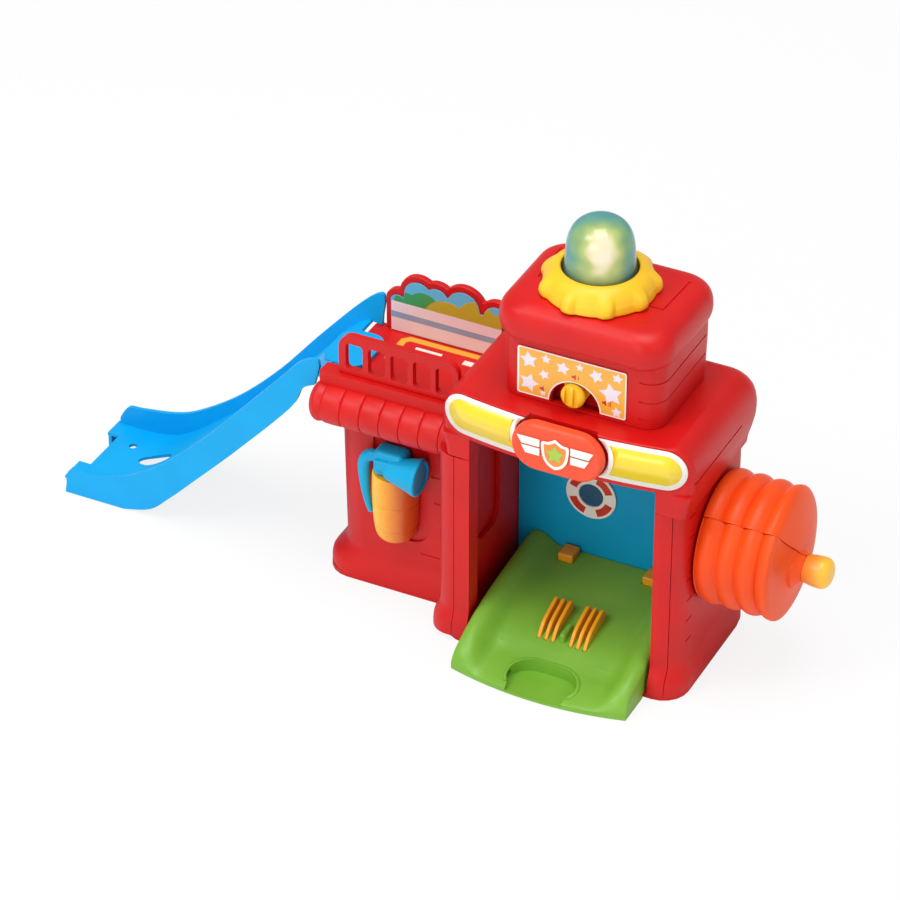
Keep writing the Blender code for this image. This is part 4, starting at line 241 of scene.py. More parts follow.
class Recipe:
    """A material while its nodes are put together."""

    def __init__(self, name: str) -> None:
        """Start an empty material with object coordinates."""
        self.material = bpy.data.materials.new(name)
        self.material.use_nodes = True
        self.tree = self.material.node_tree
        self.tree.nodes.clear()
        self.place = add_node(self.tree, "TexCoord").outputs["Object"]

    def noise(self, grain: float, detail: float = 2.0) -> bpy.types.NodeSocket:
        """Noise with blots of about so many millimetres."""
        inputs = {"Vector": self.place, "Scale": 1 / (grain * MM), "Detail": detail}
        return add_node(self.tree, "TexNoise", inputs).outputs["Fac"]

    def along(self, axis: str) -> bpy.types.NodeSocket:
        """Coordinate along X, Y or Z in metres."""
        return add_node(self.tree, "SeparateXYZ", {"Vector": self.place}).outputs[axis]

    def spread(self, value: Value, low: Value, high: Value, start: float = 0.0, end: float = 1.0,
               **settings: object) -> bpy.types.NodeSocket:
        """Map a value from one range to another.

        Args:
            value: What is mapped.
            low: Result at the start.
            high: Result at the end.
            start: Value that gives the low result.
            end: Value that gives the high result.
            settings: Properties of the node.

        Returns:
            The result.
        """
        inputs = {"Value": value, "From Min": start, "From Max": end, "To Min": low, "To Max": high}
        return add_node(self.tree, "MapRange", inputs, **settings).outputs["Result"]

    def add_up(self, value: Value, factor: Value, rest: Value) -> bpy.types.NodeSocket:
        """A value times a factor, plus the rest."""
        inputs = {0: value, 1: factor, 2: rest}
        return add_node(self.tree, "Math", inputs, operation="MULTIPLY_ADD").outputs["Value"]

    def tint(self, value: Value, stops: Sequence[tuple[float, str]]) -> bpy.types.NodeSocket:
        """Colour of a ramp with stops of a place and a hex colour."""
        node = add_node(self.tree, "ValToRGB", {"Fac": value})
        elements = node.color_ramp.elements
        while len(elements) < len(stops):
            elements.new(1.0)
        for element, (place, code) in zip(elements, stops):
            element.position = place
            element.color = linear(code)
        return node.outputs["Color"]

    def close(self, shader: bpy.types.Node) -> bpy.types.Material:
        """Link a shader to the output and hand the material over."""
        add_node(self.tree, "OutputMaterial", {"Surface": shader.outputs[0]})
        return self.material

    def serve(self, colour: object, roughness: Value, **extras: object) -> bpy.types.Material:
        """Close with the principled shader; an underscore in an extra's name stands for a space."""
        inputs = {"Base Color": colour, "Roughness": roughness,
                  **{key.replace("_", " "): value for key, value in extras.items()}}
        return self.close(add_node(self.tree, "BsdfPrincipled", inputs))


@dataclass(frozen=True)
class MouldedPlastic:
    """Injection-moulded ABS: one even colour right through, a satin skin, soft wide highlights."""

    name: str
    light: str
    shade: str
    roughness: float = 0.42
    cloud: float = 30.0
    grain: float = 1.3
    relief: float = 0.10
    index: float = 1.46

    def build(self) -> bpy.types.Material:
        """Make the material: faint flow clouds in the colour and gloss, and the mould's fine grain."""
        recipe = Recipe(self.name)
        clouds = recipe.noise(self.cloud)
        gloss = recipe.spread(clouds, self.roughness - 0.03, self.roughness + 0.04, 0.3, 0.7)
        pits = {"Height": recipe.noise(self.grain, 1.0), "Strength": self.relief, "Distance": 0.05 * MM}
        bump = add_node(recipe.tree, "Bump", pits).outputs["Normal"]
        colour = recipe.tint(clouds, ((0.35, self.shade), (0.65, self.light)))
        return recipe.serve(colour, gloss, Normal=bump, IOR=self.index)


@dataclass(frozen=True)
class ShadedFadePlastic:
    """Plastic whose colour fades along X as painted light and shade: lighter on the lit side, darker on the
    side away from the light.
    """

    name: str
    stops: tuple[tuple[float, str], ...]
    left: float
    right: float

    def build(self) -> bpy.types.Material:
        """Make the material: a painted fade of light and shade along X, broken up a little by noise."""
        recipe = Recipe(self.name)
        fade = recipe.spread(recipe.along("X"), 0.0, 1.0, self.left * MM, self.right * MM)
        drift = recipe.add_up(recipe.noise(4.0, 3.0), 0.10, fade)
        return recipe.serve(recipe.tint(drift, self.stops), 0.34, IOR=1.53)


@dataclass(frozen=True)
class PrintedSticker:
    """Laminated printed paper: flat ink under a clear film, so the colour is even and the film shines."""

    name: str
    ink: str

    def build(self) -> bpy.types.Material:
        """Make the material: ink with the faint mottle of paper, under a clear coat."""
        recipe = Recipe(self.name)
        mottle = {0: linear(self.ink)[:3], "Scale": recipe.spread(recipe.noise(0.8, 4.0), 0.965, 1.02)}
        colour = add_node(recipe.tree, "VectorMath", mottle, operation="SCALE").outputs["Vector"]
        return recipe.serve(colour, 0.30, IOR=1.48, Coat_Weight=0.4, Coat_Roughness=0.12)


@dataclass(frozen=True)
class TintedDomeWithPaintedLight:
    """Clear polystyrene tinted teal, with the inner lamp's light painted in: pale where seen squarely and near
    the lamp, teal at its edges, with a painted shade at its foot and a painted glow.
    """

    name: str
    stops: tuple[tuple[float, str], ...]
    foot: float
    head: float
    foot_shade: str = "#5E5A2A"
    lamp: float = 235.0
    reach: float = 32.0

    def build(self) -> bpy.types.Material:
        """Make the material: the colour deepens where the wall is seen on edge and away from the lamp, which
        paints in the lamp's light; the foot is darkened with painted shade, and the emission is a painted glow.
        """
        recipe = Recipe(self.name)
        facing = add_node(recipe.tree, "LayerWeight", {"Blend": 0.42}).outputs["Facing"]
        height = recipe.along("Z")
        # painted light: the dome is paler close to the lamp's height
        far = recipe.add_up(height, 1 / (self.reach * MM), -self.lamp / self.reach)
        depth = recipe.add_up(far, far, recipe.add_up(recipe.noise(13.0, 1.0), 0.55, facing))
        share = add_node(recipe.tree, "Math", {0: depth, 1: 0.27}, operation="SUBTRACT").outputs["Value"]
        rise = recipe.spread(height, 0.0, 1.0, self.foot * MM, self.head * MM, interpolation_type="SMOOTHSTEP")
        # painted shade: dark olive at the foot of the dome, down inside the collar
        mix = {0: rise, 6: linear(self.foot_shade), 7: recipe.tint(share, self.stops)}
        colour = add_node(recipe.tree, "Mix", mix, data_type="RGBA").outputs[2]
        # painted glow: the dome emits light of its own, though only the lamp inside is a lamp
        glow = recipe.spread(share, 0.26, 0.05, 0.0, 0.5)
        return recipe.serve(colour, 0.22, IOR=1.40, Transmission_Weight=0.35, Emission_Color=colour,
                            Emission_Strength=glow, Coat_Weight=0.3, Coat_Roughness=0.08)


@dataclass(frozen=True)
class LitLamp:
    """Water-clear epoxy of a light-emitting diode that is switched on."""

    name: str
    glow: str
    strength: float

    def build(self) -> bpy.types.Material:
        """Make the material: warm light that is strongest in the middle of the lens."""
        recipe = Recipe(self.name)
        glow = recipe.spread(recipe.noise(3.0), self.strength * 0.8, self.strength)
        colour = linear(self.glow)
        return recipe.serve(colour, 0.2, Emission_Color=colour, Emission_Strength=glow)


@dataclass(frozen=True)
class PlainMetal:
    """Bright zinc-plated steel: drawn wire and stamped sheet, with faint streaks in its shine."""

    name: str
    colour: str

    def build(self) -> bpy.types.Material:
        """Make the material."""
        recipe = Recipe(self.name)
        return recipe.serve(linear(self.colour), recipe.spread(recipe.noise(1.5, 3.0), 0.22, 0.42),
                            Metallic=1.0)


class Finish(Enum):
    """Every finish of the toy: mouldings, metal and lamp first, then the inks of its stickers."""

    RED = MouldedPlastic("red_abs_moulding", "#CE0E0D", "#C50B0A", index=1.40)
    BLUE = MouldedPlastic("light_blue_abs_moulding", "#00A6E6", "#00A0E0", index=1.32)
    DEEP_BLUE = MouldedPlastic("blue_abs_moulding", "#00A6D8", "#009FD0", index=1.36)
    GREEN = MouldedPlastic("green_abs_moulding", "#7AB236", "#72AA31", 0.40)
    ORANGE = MouldedPlastic("orange_abs_moulding", "#F25214", "#EC4A10", index=1.36)
    AMBER = MouldedPlastic("amber_abs_moulding", "#F4AA1E", "#ECA018")
    YELLOW = MouldedPlastic("yellow_abs_moulding", "#F8C422", "#F2BB1C")
    BADGE = MouldedPlastic("orange_button_moulding", "#F0502A", "#EA4924")
    WHITE = MouldedPlastic("white_abs_moulding", "#EDEDEA", "#E6E6E2")
    BLACK = MouldedPlastic("black_abs_moulding", "#1B1B1D", "#151517")
    BOARD = MouldedPlastic("circuit_board_laminate", "#1B6B3A", "#175F33", 0.3, 6.0)
    # painted light and shade: the nozzle is orange at its shaded root and yellow towards its lit, domed tip
    NOZZLE = ShadedFadePlastic("nozzle_moulding", ((0.0, "#EE7A22"), (0.45, "#F0932A"), (1.0, "#FCC233")),
                            114.0, 127.5)
    # painted shade: the bottle is yellow on its lit left side and red-orange on its right side, away from the
    # light
    BOTTLE = ShadedFadePlastic("bottle_painted_shade", ((0.12, "#FFCE38"), (0.45, "#F4A726"), (0.90, "#D2571E")),
                            -115.5, -90.5)
    # painted lamp light in the dome: cream where the lamp shines through, deeper teal further off
    DOME = TintedDomeWithPaintedLight("tinted_dome_painted_light", ((0.0, "#EADFC8"), (0.10, "#E0D8B0"), (0.19, "#B9C478"), (0.36, "#8FB27C"),
                                      (0.58, "#57A3A0"), (0.86, "#2186A4")), 210.0, 227.0)
    LAMP = LitLamp("lamp_lens", "#FFF3D6", 9.0)
    STEEL = PlainMetal("plated_steel", "#B9BABD")
    INK_YELLOW = PrintedSticker("ink_yellow", "#F4D42C")
    INK_WHITE = PrintedSticker("ink_white", "#F4F2EA")
    INK_ORANGE = PrintedSticker("ink_orange", "#EFB03A")
    INK_STAR = PrintedSticker("ink_star", "#EAE3EE")
    INK_MARK = PrintedSticker("ink_mark", "#C8261C")
    INK_ROAD = PrintedSticker("ink_road", "#F0A51E")
    INK_DASH = PrintedSticker("ink_dash", "#F3E9DC")
    INK_SKY = PrintedSticker("ink_sky", "#5DB6D6")
    INK_BUSH = PrintedSticker("ink_bush", "#3E9B45")
    INK_HILL = PrintedSticker("ink_hill", "#B9A72B")
    INK_FENCE = PrintedSticker("ink_fence", "#EFD9D6")
    INK_STRIPE = PrintedSticker("ink_stripe", "#8FA3B5")
    INK_RING = PrintedSticker("ink_ring", "#CF2A22")
    INK_NAVY = PrintedSticker("ink_navy", "#1F4E79")
    INK_SHIELD = PrintedSticker("ink_shield", "#E8862A")
    INK_LEAF = PrintedSticker("ink_leaf", "#9CC93C")

    def dress(self, thing: bpy.types.Object) -> None:
        """Give an object this finish alone, which is built on its first use."""
        thing.data.materials.clear()
        thing.data.materials.append(bpy.data.materials.get(self.value.name) or self.value.build())


class Piece:
    """A mesh on the bench: started from a primitive or a flat curve, then shaped and finished."""

    def __init__(self, thing: bpy.types.Object, name: str) -> None:
        """Take over a new object and name it."""
        thing.name = name
        thing.data.name = name
        self.thing = thing

    def alone(self) -> None:
        """Select only this piece and make it active."""
        bpy.ops.object.select_all(action="DESELECT")
        self.thing.select_set(True)
        bpy.context.view_layer.objects.active = self.thing

    @contextmanager
    def editing(self) -> Iterator[None]:
        """Edit mode on this piece, with everything in it selected."""
        self.alone()
        bpy.ops.object.mode_set(mode="EDIT")
        bpy.ops.mesh.select_all(action="SELECT")
        yield
        bpy.ops.object.mode_set(mode="OBJECT")

    @classmethod
    def block(cls, name: str, low: Place, high: Place) -> "Piece":
        """Cuboid between two corners.

        Args:
            name: Name of the piece.
            low: Lowest corner.
            high: Highest corner.

        Returns:
            The piece.
        """
        bpy.ops.object.select_all(action="DESELECT")
        bpy.ops.mesh.primitive_cube_add(size=MM)
        piece = cls(bpy.context.object, name)
        with piece.editing():
            bpy.ops.transform.resize(value=[h - l for l, h in zip(low, high)], center_override=(0, 0, 0))
            bpy.ops.transform.translate(value=[(l + h) / 2 * MM for l, h in zip(low, high)])
        return piece

    @classmethod
    def rod(cls, name: str, start: Place, end: Place, radius: float, end_radius: float | None = None,
            steps: int = 48) -> "Piece":
        """Cylinder or cone between two points.

        Args:
            name: Name of the piece.
            start: Middle of the first end.
            end: Middle of the other end.
            radius: Radius at the first end.
            end_radius: Radius at the other end, the same if left out.
            steps: Sides.

        Returns:
            The piece.
        """
        bpy.ops.object.select_all(action="DESELECT")
        first, last = Vector(start), Vector(end)
        along = last - first
        bpy.ops.mesh.primitive_cone_add(vertices=steps, radius1=radius * MM, depth=along.length * MM,
                                        radius2=(radius if end_radius is None else end_radius) * MM)
        piece = cls(bpy.context.object, name)
        turn = along.to_track_quat("Z", "Y").to_matrix().to_4x4()
        piece.place(Matrix.Translation((first + last) / 2 * MM) @ turn)
        return piece

    @classmethod
    def drawn(cls, name: str, loops: Iterable[Sequence[Sequence[float]]], radii: Sequence[float] | None = None,
              **settings: object) -> "Piece":
        """Mesh made from a curve of straight pieces.

        Args:
            name: Name of the piece.
            loops: Points of each line.
            radii: Radius at each point of an open line; lines are closed if left out.
            settings: Settings of the curve.

        Returns:
            The piece.
        """
        curve = bpy.data.curves.new(name, "CURVE")
        for key, value in settings.items():
            setattr(curve, key, value)
        for loop in loops:
            spline = curve.splines.new("POLY")
            spline.points.add(len(loop) - 1)
            for point, place in zip(spline.points, loop):
                point.co = (*(c * MM for c in place), *(0.0,) * (3 - len(place)), 1.0)
            for point, radius in zip(spline.points, radii or ()):
                point.radius = radius
            spline.use_cyclic_u = radii is None
        cls(link_object(name, curve), name).alone()
        bpy.ops.object.convert(target="MESH")
        return cls(bpy.context.object, name)

    @classmethod
    def plate(cls, name: str, plane: Plane, loops: Iterable[Sequence[Point]], low: float,
              high: float) -> "Piece":
        """Flat outline with holes, thickened between two distances along the plane's normal.

        Args:
            name: Name of the piece.
            plane: Plane of the outline.
            loops: The outline and its holes.
            low: Where the thickness starts.
            high: Where it ends.

        Returns:
            The piece.
        """
        piece = cls.drawn(name, loops, dimensions="2D", fill_mode="BOTH", extrude=(high - low) / 2 * MM)
        turn, normal = plane.value
        piece.place(Matrix.Translation(Vector(normal) * (high + low) / 2 * MM) @ Matrix(turn).to_4x4())
        return piece.weld()

    @classmethod
    def hose(cls, name: str, path: Sequence[Place], radii: Sequence[float]) -> "Piece":
        """Round hose along a path, with a radius at each point and closed ends."""
        return cls.drawn(name, [path], radii, dimensions="3D", bevel_depth=MM, bevel_resolution=6,
                         use_fill_caps=True).weld()

    @classmethod
    def turned(cls, name: str, profile: Sequence[Point], centre: Place, axis: Place = (0, 0, 1),
               steps: int = 96) -> "Piece":
        """Profile of radius and distance, spun round an axis.

        Args:
            name: Name of the piece.
            profile: Pairs of radius and distance along the axis.
            centre: Point of the axis from which distances count.
            axis: Direction of the axis, along X, Y or Z.
            steps: Steps of the spin.

        Returns:
            The piece.
        """
        mesh = bpy.data.meshes.new(name)
        edges = [(i, i + 1) for i in range(len(profile) - 1)]
        mesh.from_pydata([(r * MM, 0.0, z * MM) for r, z in profile], edges, [])
        piece = cls(link_object(name, mesh), name)
        with piece.editing():
            bpy.ops.mesh.spin(steps=steps, angle=2 * math.pi, center=(0, 0, 0), axis=(0, 0, 1))
        turn = Vector(axis).to_track_quat("Z", "Y").to_matrix().to_4x4()
        piece.place(Matrix.Translation(Vector(centre) * MM) @ turn)
        return piece.weld()

    @classmethod
    def column(cls, name: str, layers: Sequence[Layer], radius: float, front_cuts: int = 0,
               corner_steps: int = 10, front_radius: float | None = None) -> "Piece":
        """Rounded rectangle that is extruded and resized from level to level.

        Args:
            name: Name of the piece.
            layers: Levels from the bottom up.
            radius: Corner radius at the first level.
            front_cuts: Points added along the front side.
            corner_steps: Straight pieces in each corner.
            front_radius: Radius of the two front corners, the same if left out.

        Returns:
            The piece.
        """
        bpy.ops.object.select_all(action="DESELECT")
        bpy.ops.mesh.primitive_plane_add(size=MM)
        piece = cls(bpy.context.object, name)
        first = layers[0]
        with piece.editing():
            bpy.ops.transform.resize(value=(first.right - first.left, first.back - first.front, 1.0),
                                     center_override=(0, 0, 0))
            bpy.ops.transform.translate(value=((first.left + first.right) / 2 * MM,
                                               (first.front + first.back) / 2 * MM, first.z * MM))
            for rear, size in ((True, radius), (False, radius if front_radius is None else front_radius)):
                piece.pick(Element.POINT, lambda place, _: (place.y > first.back - GAP) if rear
                           else (place.y < first.front + GAP))
                bpy.ops.mesh.bevel(offset=size * MM, segments=corner_steps, affect="VERTICES",
                                   offset_type="OFFSET")
            if front_cuts:
                piece.pick(Element.EDGE, lambda place, run: abs(run.x) > 0.99 and place.y < first.front + GAP)
                bpy.ops.mesh.subdivide(number_cuts=front_cuts)
            piece.pick(Element.FACE, lambda place, _: True)
            for below, above in zip(layers, layers[1:]):
                piece.climb(below, above)
        return piece.face_out()

    @staticmethod
    def climb(below: Layer, above: Layer) -> None:
        """Extrude the selected face up to the next level and fit it to that level's rectangle.

        Args:
            below: Level of the selected face.
            above: Level to reach.
        """
        middle = ((below.left + below.right) / 2 * MM, (below.front + below.back) / 2 * MM, above.z * MM)
        bpy.ops.mesh.extrude_region_move(TRANSFORM_OT_translate={"value": (0, 0, (above.z - below.z) * MM)})
        bpy.ops.transform.resize(value=((above.right - above.left) / (below.right - below.left),
                                        (above.back - above.front) / (below.back - below.front), 1.0),
                                 center_override=middle)
        bpy.ops.transform.translate(value=((above.left + above.right) / 2 * MM - middle[0],
                                           (above.front + above.back) / 2 * MM - middle[1], 0.0))

    def pick(self, element: Element, test: Callable[[Vector, Vector], bool]) -> None:
        """Select what a test accepts, in edit mode.

        Args:
            element: Kind of element.
            test: Takes an element's middle in millimetres and its direction, and says yes or no.
        """
        bpy.ops.mesh.select_mode(type=element.value)
        bpy.ops.mesh.select_all(action="DESELECT")
        mesh = bmesh.from_edit_mesh(self.thing.data)
        mesh.normal_update()
        if element is Element.FACE:
            for face in mesh.faces:
                face.select_set(test(face.calc_center_median() / MM, face.normal))
        elif element is Element.EDGE:
            for edge in mesh.edges:
                first, last = (vert.co for vert in edge.verts)
                edge.select_set(test((first + last) / 2 / MM, (last - first).normalized()))
        else:
            for vert in mesh.verts:
                vert.select_set(test(vert.co / MM, vert.normal))
        mesh.select_flush_mode()
        bmesh.update_edit_mesh(self.thing.data)

    def shape(self, move: Callable[[Vector], Place]) -> "Piece":
        """Move every point by a rule that takes and returns a place in millimetres."""
        for vert in self.thing.data.vertices:
            vert.co = Vector(move(vert.co / MM)) * MM
        return self

    def place(self, matrix: Matrix) -> None:
        """Put a place and turn into the mesh, so that the object stays at the origin."""
        self.thing.matrix_world = matrix
        self.alone()
        bpy.ops.object.transform_apply(location=True, rotation=True, scale=True)

    def weld(self) -> "Piece":
        """Merge doubled points, dissolve needless edges on flat faces and turn every face outwards."""
        with self.editing():
            bpy.ops.mesh.remove_doubles(threshold=0.002 * MM)
            bpy.ops.mesh.dissolve_limited(angle_limit=math.radians(0.4))
            bpy.ops.mesh.normals_make_consistent(inside=False)
        return self

    def face_out(self) -> "Piece":
        """Turn every face outwards."""
        with self.editing():
            bpy.ops.mesh.normals_make_consistent(inside=False)
        return self

    def apply(self, kind: str, **settings: object) -> "Piece":
        """Add a modifier and apply it.

        Args:
            kind: Blender's name of the modifier.
            settings: Its settings.

        Returns:
            The piece.
        """
        self.alone()
        modifier = self.thing.modifiers.new(kind.lower(), kind)
        for key, value in settings.items():
            setattr(modifier, key, value)
        bpy.ops.object.modifier_apply(modifier=modifier.name)
        return self

    def boolean(self, operation: str, others: Iterable["Piece"]) -> "Piece":
        """Combine with other pieces, which are used up.

        Args:
            operation: UNION, DIFFERENCE or INTERSECT.
            others: The other pieces.

        Returns:
            The piece.
        """
        for other in others:
            self.apply("BOOLEAN", operation=operation, object=other.thing, solver="EXACT")
            bpy.data.objects.remove(other.thing, do_unlink=True)
        return self

    def cut(self, *others: "Piece") -> "Piece":
        """Take other pieces away."""
        return self.boolean("DIFFERENCE", others)

    def join(self, *others: "Piece") -> "Piece":
        """Grow together with other pieces."""
        return self.boolean("UNION", others)

    def keep(self, *others: "Piece") -> "Piece":
        """Leave only what other pieces share."""
        return self.boolean("INTERSECT", others)

    def soften(self, width: float, segments: int) -> "Piece":
        """Round every edge."""
        return self.apply("BEVEL", width=width * MM, segments=segments)

    def round_edges(self, width: float, segments: int = 3, angle: float = 38.0) -> "Piece":
        """Round every edge that is sharper than an angle in degrees."""
        self.weld()
        return self.apply("BEVEL", width=width * MM, segments=segments, limit_method="ANGLE",
                          angle_limit=math.radians(angle), miter_outer="MITER_ARC")

    def smooth(self, angle: float = 38.0) -> "Piece":
        """Shade smoothly below an angle in degrees, weighted by the size of the faces."""
        self.alone()
        bpy.ops.object.shade_smooth_by_angle(angle=math.radians(angle))
        return self.apply("WEIGHTED_NORMAL", keep_sharp=True, weight=80)

    def settle(self, finish: Finish, node: str, body: str = "station", replaces: bool = True) -> None:
        """Dress the piece and fix it to its body.

        Args:
            finish: Its finish.
            node: Node that it stands for or lies on; hidden when the piece replaces it.
            body: Body that it rides on.
            replaces: Whether it stands for the node, or lies on it as a print does.
        """
        finish.dress(self.thing)
        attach(self.thing, body)
        if replaces:
            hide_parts(node)
        LOG.info("%s: %d faces on %s", self.thing.name, len(self.thing.data.polygons), body)


def print_on(name: str, node: str, ink: Finish, outline: Sequence[Point], low: float, high: float,
             plane: Plane = Plane.FRONT, body: str = "station") -> None:
    """Lay a thin patch of ink on a node.

    Args:
        name: Name of the patch.
        node: Node that it lies on.
        ink: Its finish.
        outline: Its outline.
        low: Where its thickness starts.
        high: Where it ends.
        plane: Plane of the outline.
        body: Body that it rides on.
    """
    Piece.plate(name, plane, [outline], low, high).settle(ink, node, body, False)


class Assembly:
    """Group of pieces that are built one after the other."""

    def build(self) -> None:
        """Call every method whose name starts with build_, in the order in which they are written."""
        for name in vars(type(self)):
            if name.startswith("build_"):
                getattr(self, name)()


FOOT_CURVE = ((0.0, 1.0), (0.12, 1.0), (0.25, 0.985), (0.38, 0.93), (0.50, 0.80), (0.60, 0.62),
              (0.70, 0.42), (0.80, 0.23), (0.90, 0.08), (1.0, 0.0))
FOOT_BOTTOM = 2.8
FOOT_HEIGHT = 16.0


def foot_layers(level: Callable[[float, float], Layer], top: float) -> list[Layer]:
    """Levels of a wall with the flared foot that every block stands on.

    Args:
        level: Takes a height and the share of the flare there.
        top: Height of the wall.

    Returns:
        The levels from the bottom up.
    """
    return [*(level(FOOT_BOTTOM + FOOT_HEIGHT * rise, share) for rise, share in FOOT_CURVE), level(top, 0.0)]


@dataclass
class GarageBlock(Assembly):
    """Garage: outer walls, door frame, back panel with its ring, and the hollow under the roof."""

    half: float = 64.5
    front: float = -41.0
    back: float = 43.5
    corner: float = 12.0
    top: float = 111.7
    flare: float = 3.0
    seam: float = 58.8
    pillar_left: float = 70.4
    pillar_back: float = -16.3
    door: float = 50.2
    bay: float = 56.0
    height: float = 125.0
    edge: float = 0.9

    def shell(self, name: str, grow: float = 0.0) -> Piece:
        """Solid garage body with its flared foot.

        Args:
            name: Name of the piece.
            grow: How far it is grown outwards.

        Returns:
            The piece.
        """
        def level(z: float, share: float) -> Layer:
            out = self.flare * share + grow
            return Layer(z, -self.half - out, self.half + out, self.front - out, self.back + out)

        return Piece.column(name, foot_layers(level, self.top), self.corner + self.flare)

    def pillar(self) -> Piece:
        """Rounded column in front of the left block, with the same flared foot."""
        def level(z: float, share: float) -> Layer:
            out = self.flare * share
            return Layer(z, -self.pillar_left - out, -30.0, self.front - out, 0.0)

        column = Piece.column("pillar", foot_layers(level, self.top - 0.4), self.corner)
        behind = Piece.block("pillar_back", (-100.0, self.pillar_back, -OVERRUN), (-20.0, 20.0, 160.0))
        return column.cut(behind)

    def build_walls(self) -> None:
        """Side and back walls, with the speaker slots and the shallow courses."""
        walls = self.shell("garage_walls_skin").join(self.pillar())
        walls.cut(Piece.block("hollow", (-self.seam, self.front - OVERRUN, -OVERRUN),
                              (self.seam, self.back - 2.7, 160.0)))
        for z in (50.0, 55.0, 60.0, 65.0, 70.0):
            slot = rounded_rectangle(-12.0, 12.0, z - 1.0, z + 1.0, 0.95)
            walls.cut(Piece.plate("slot", Plane.FRONT, [slot], self.back - OVERRUN, self.back + OVERRUN))
        for z in (106.0, 93.5, 81.0, 68.5, 56.0, 43.5, 31.0):
            walls.cut(Piece.block("course", (self.half - 0.5, -44.0, z - COURSE),
                                  (self.half + OVERRUN, -24.0, z + COURSE)))
        walls.round_edges(0.5, 2).smooth().settle(Finish.RED, "garage_walls")

    def build_frame(self) -> None:
        """Door frame and inner walls, one moulding with a tall slot in its left wall."""
        outer = self.seam - GAP
        liner = self.shell("garage_liner_skin").join(self.pillar())
        liner.keep(Piece.block("limits", (-outer, self.front - OVERRUN, 0.0), (outer, 32.0, 150.0)))
        liner.join(Piece.block("top", (-outer, -34.9, 105.0), (outer, 32.0, 127.0)))
        window = rounded_rectangle(-20.9, 6.8, 45.0, 118.0, 9.2)
        liner.cut(Piece.block("doorway", (-self.door, self.front - OVERRUN, -OVERRUN),
                              (self.door, 0.0, self.height)),
                  Piece.block("bay", (-self.bay, -31.0, -OVERRUN), (self.bay, self.back + 1.0, self.height)),
                  Piece.plate("window", Plane.SIDE, [window], -70.0, -50.0))
        liner.round_edges(self.edge).smooth().settle(Finish.RED, "garage_liner")

    def build_panel(self) -> None:
        """Blue wall at the back of the bay."""
        half = self.bay - GAP
        panel = Piece.block("back_panel_skin", (-half, 28.0, 2.8), (half, 30.0, self.height - GAP))
        panel.round_edges(0.4, 2).smooth().settle(Finish.DEEP_BLUE, "back_panel")

    def build_ring(self) -> None:
        """Printed life ring: white and red bands round a plain navy middle."""
        x, z, y, node = -14.3, 59.0, 27.7, "life_ring"
        front = y - 1.0
        loops = [ring(x, z, 14.0, 14.0), ring(x, z, 6.8, 6.8)]
        base = Piece.plate("life_ring_base", Plane.FRONT, loops, front, y)
        base.round_edges(0.25, 2).smooth().settle(Finish.INK_WHITE, node)
        for number in range(4):
            start, sweep = math.radians(45.0 + 90.0 * number - 27.0), math.radians(54.0)
            outline = arc(x, z, 12.6, start, sweep, 12) + arc(x, z, 8.4, start, sweep, 12)[::-1]
            print_on(f"life_ring_band_{number}", node, Finish.INK_RING, outline, front - PRINT, front)
        print_on("life_ring_middle", node, Finish.INK_NAVY, ring(x, z, 6.4, 6.4), y - 0.3, y)


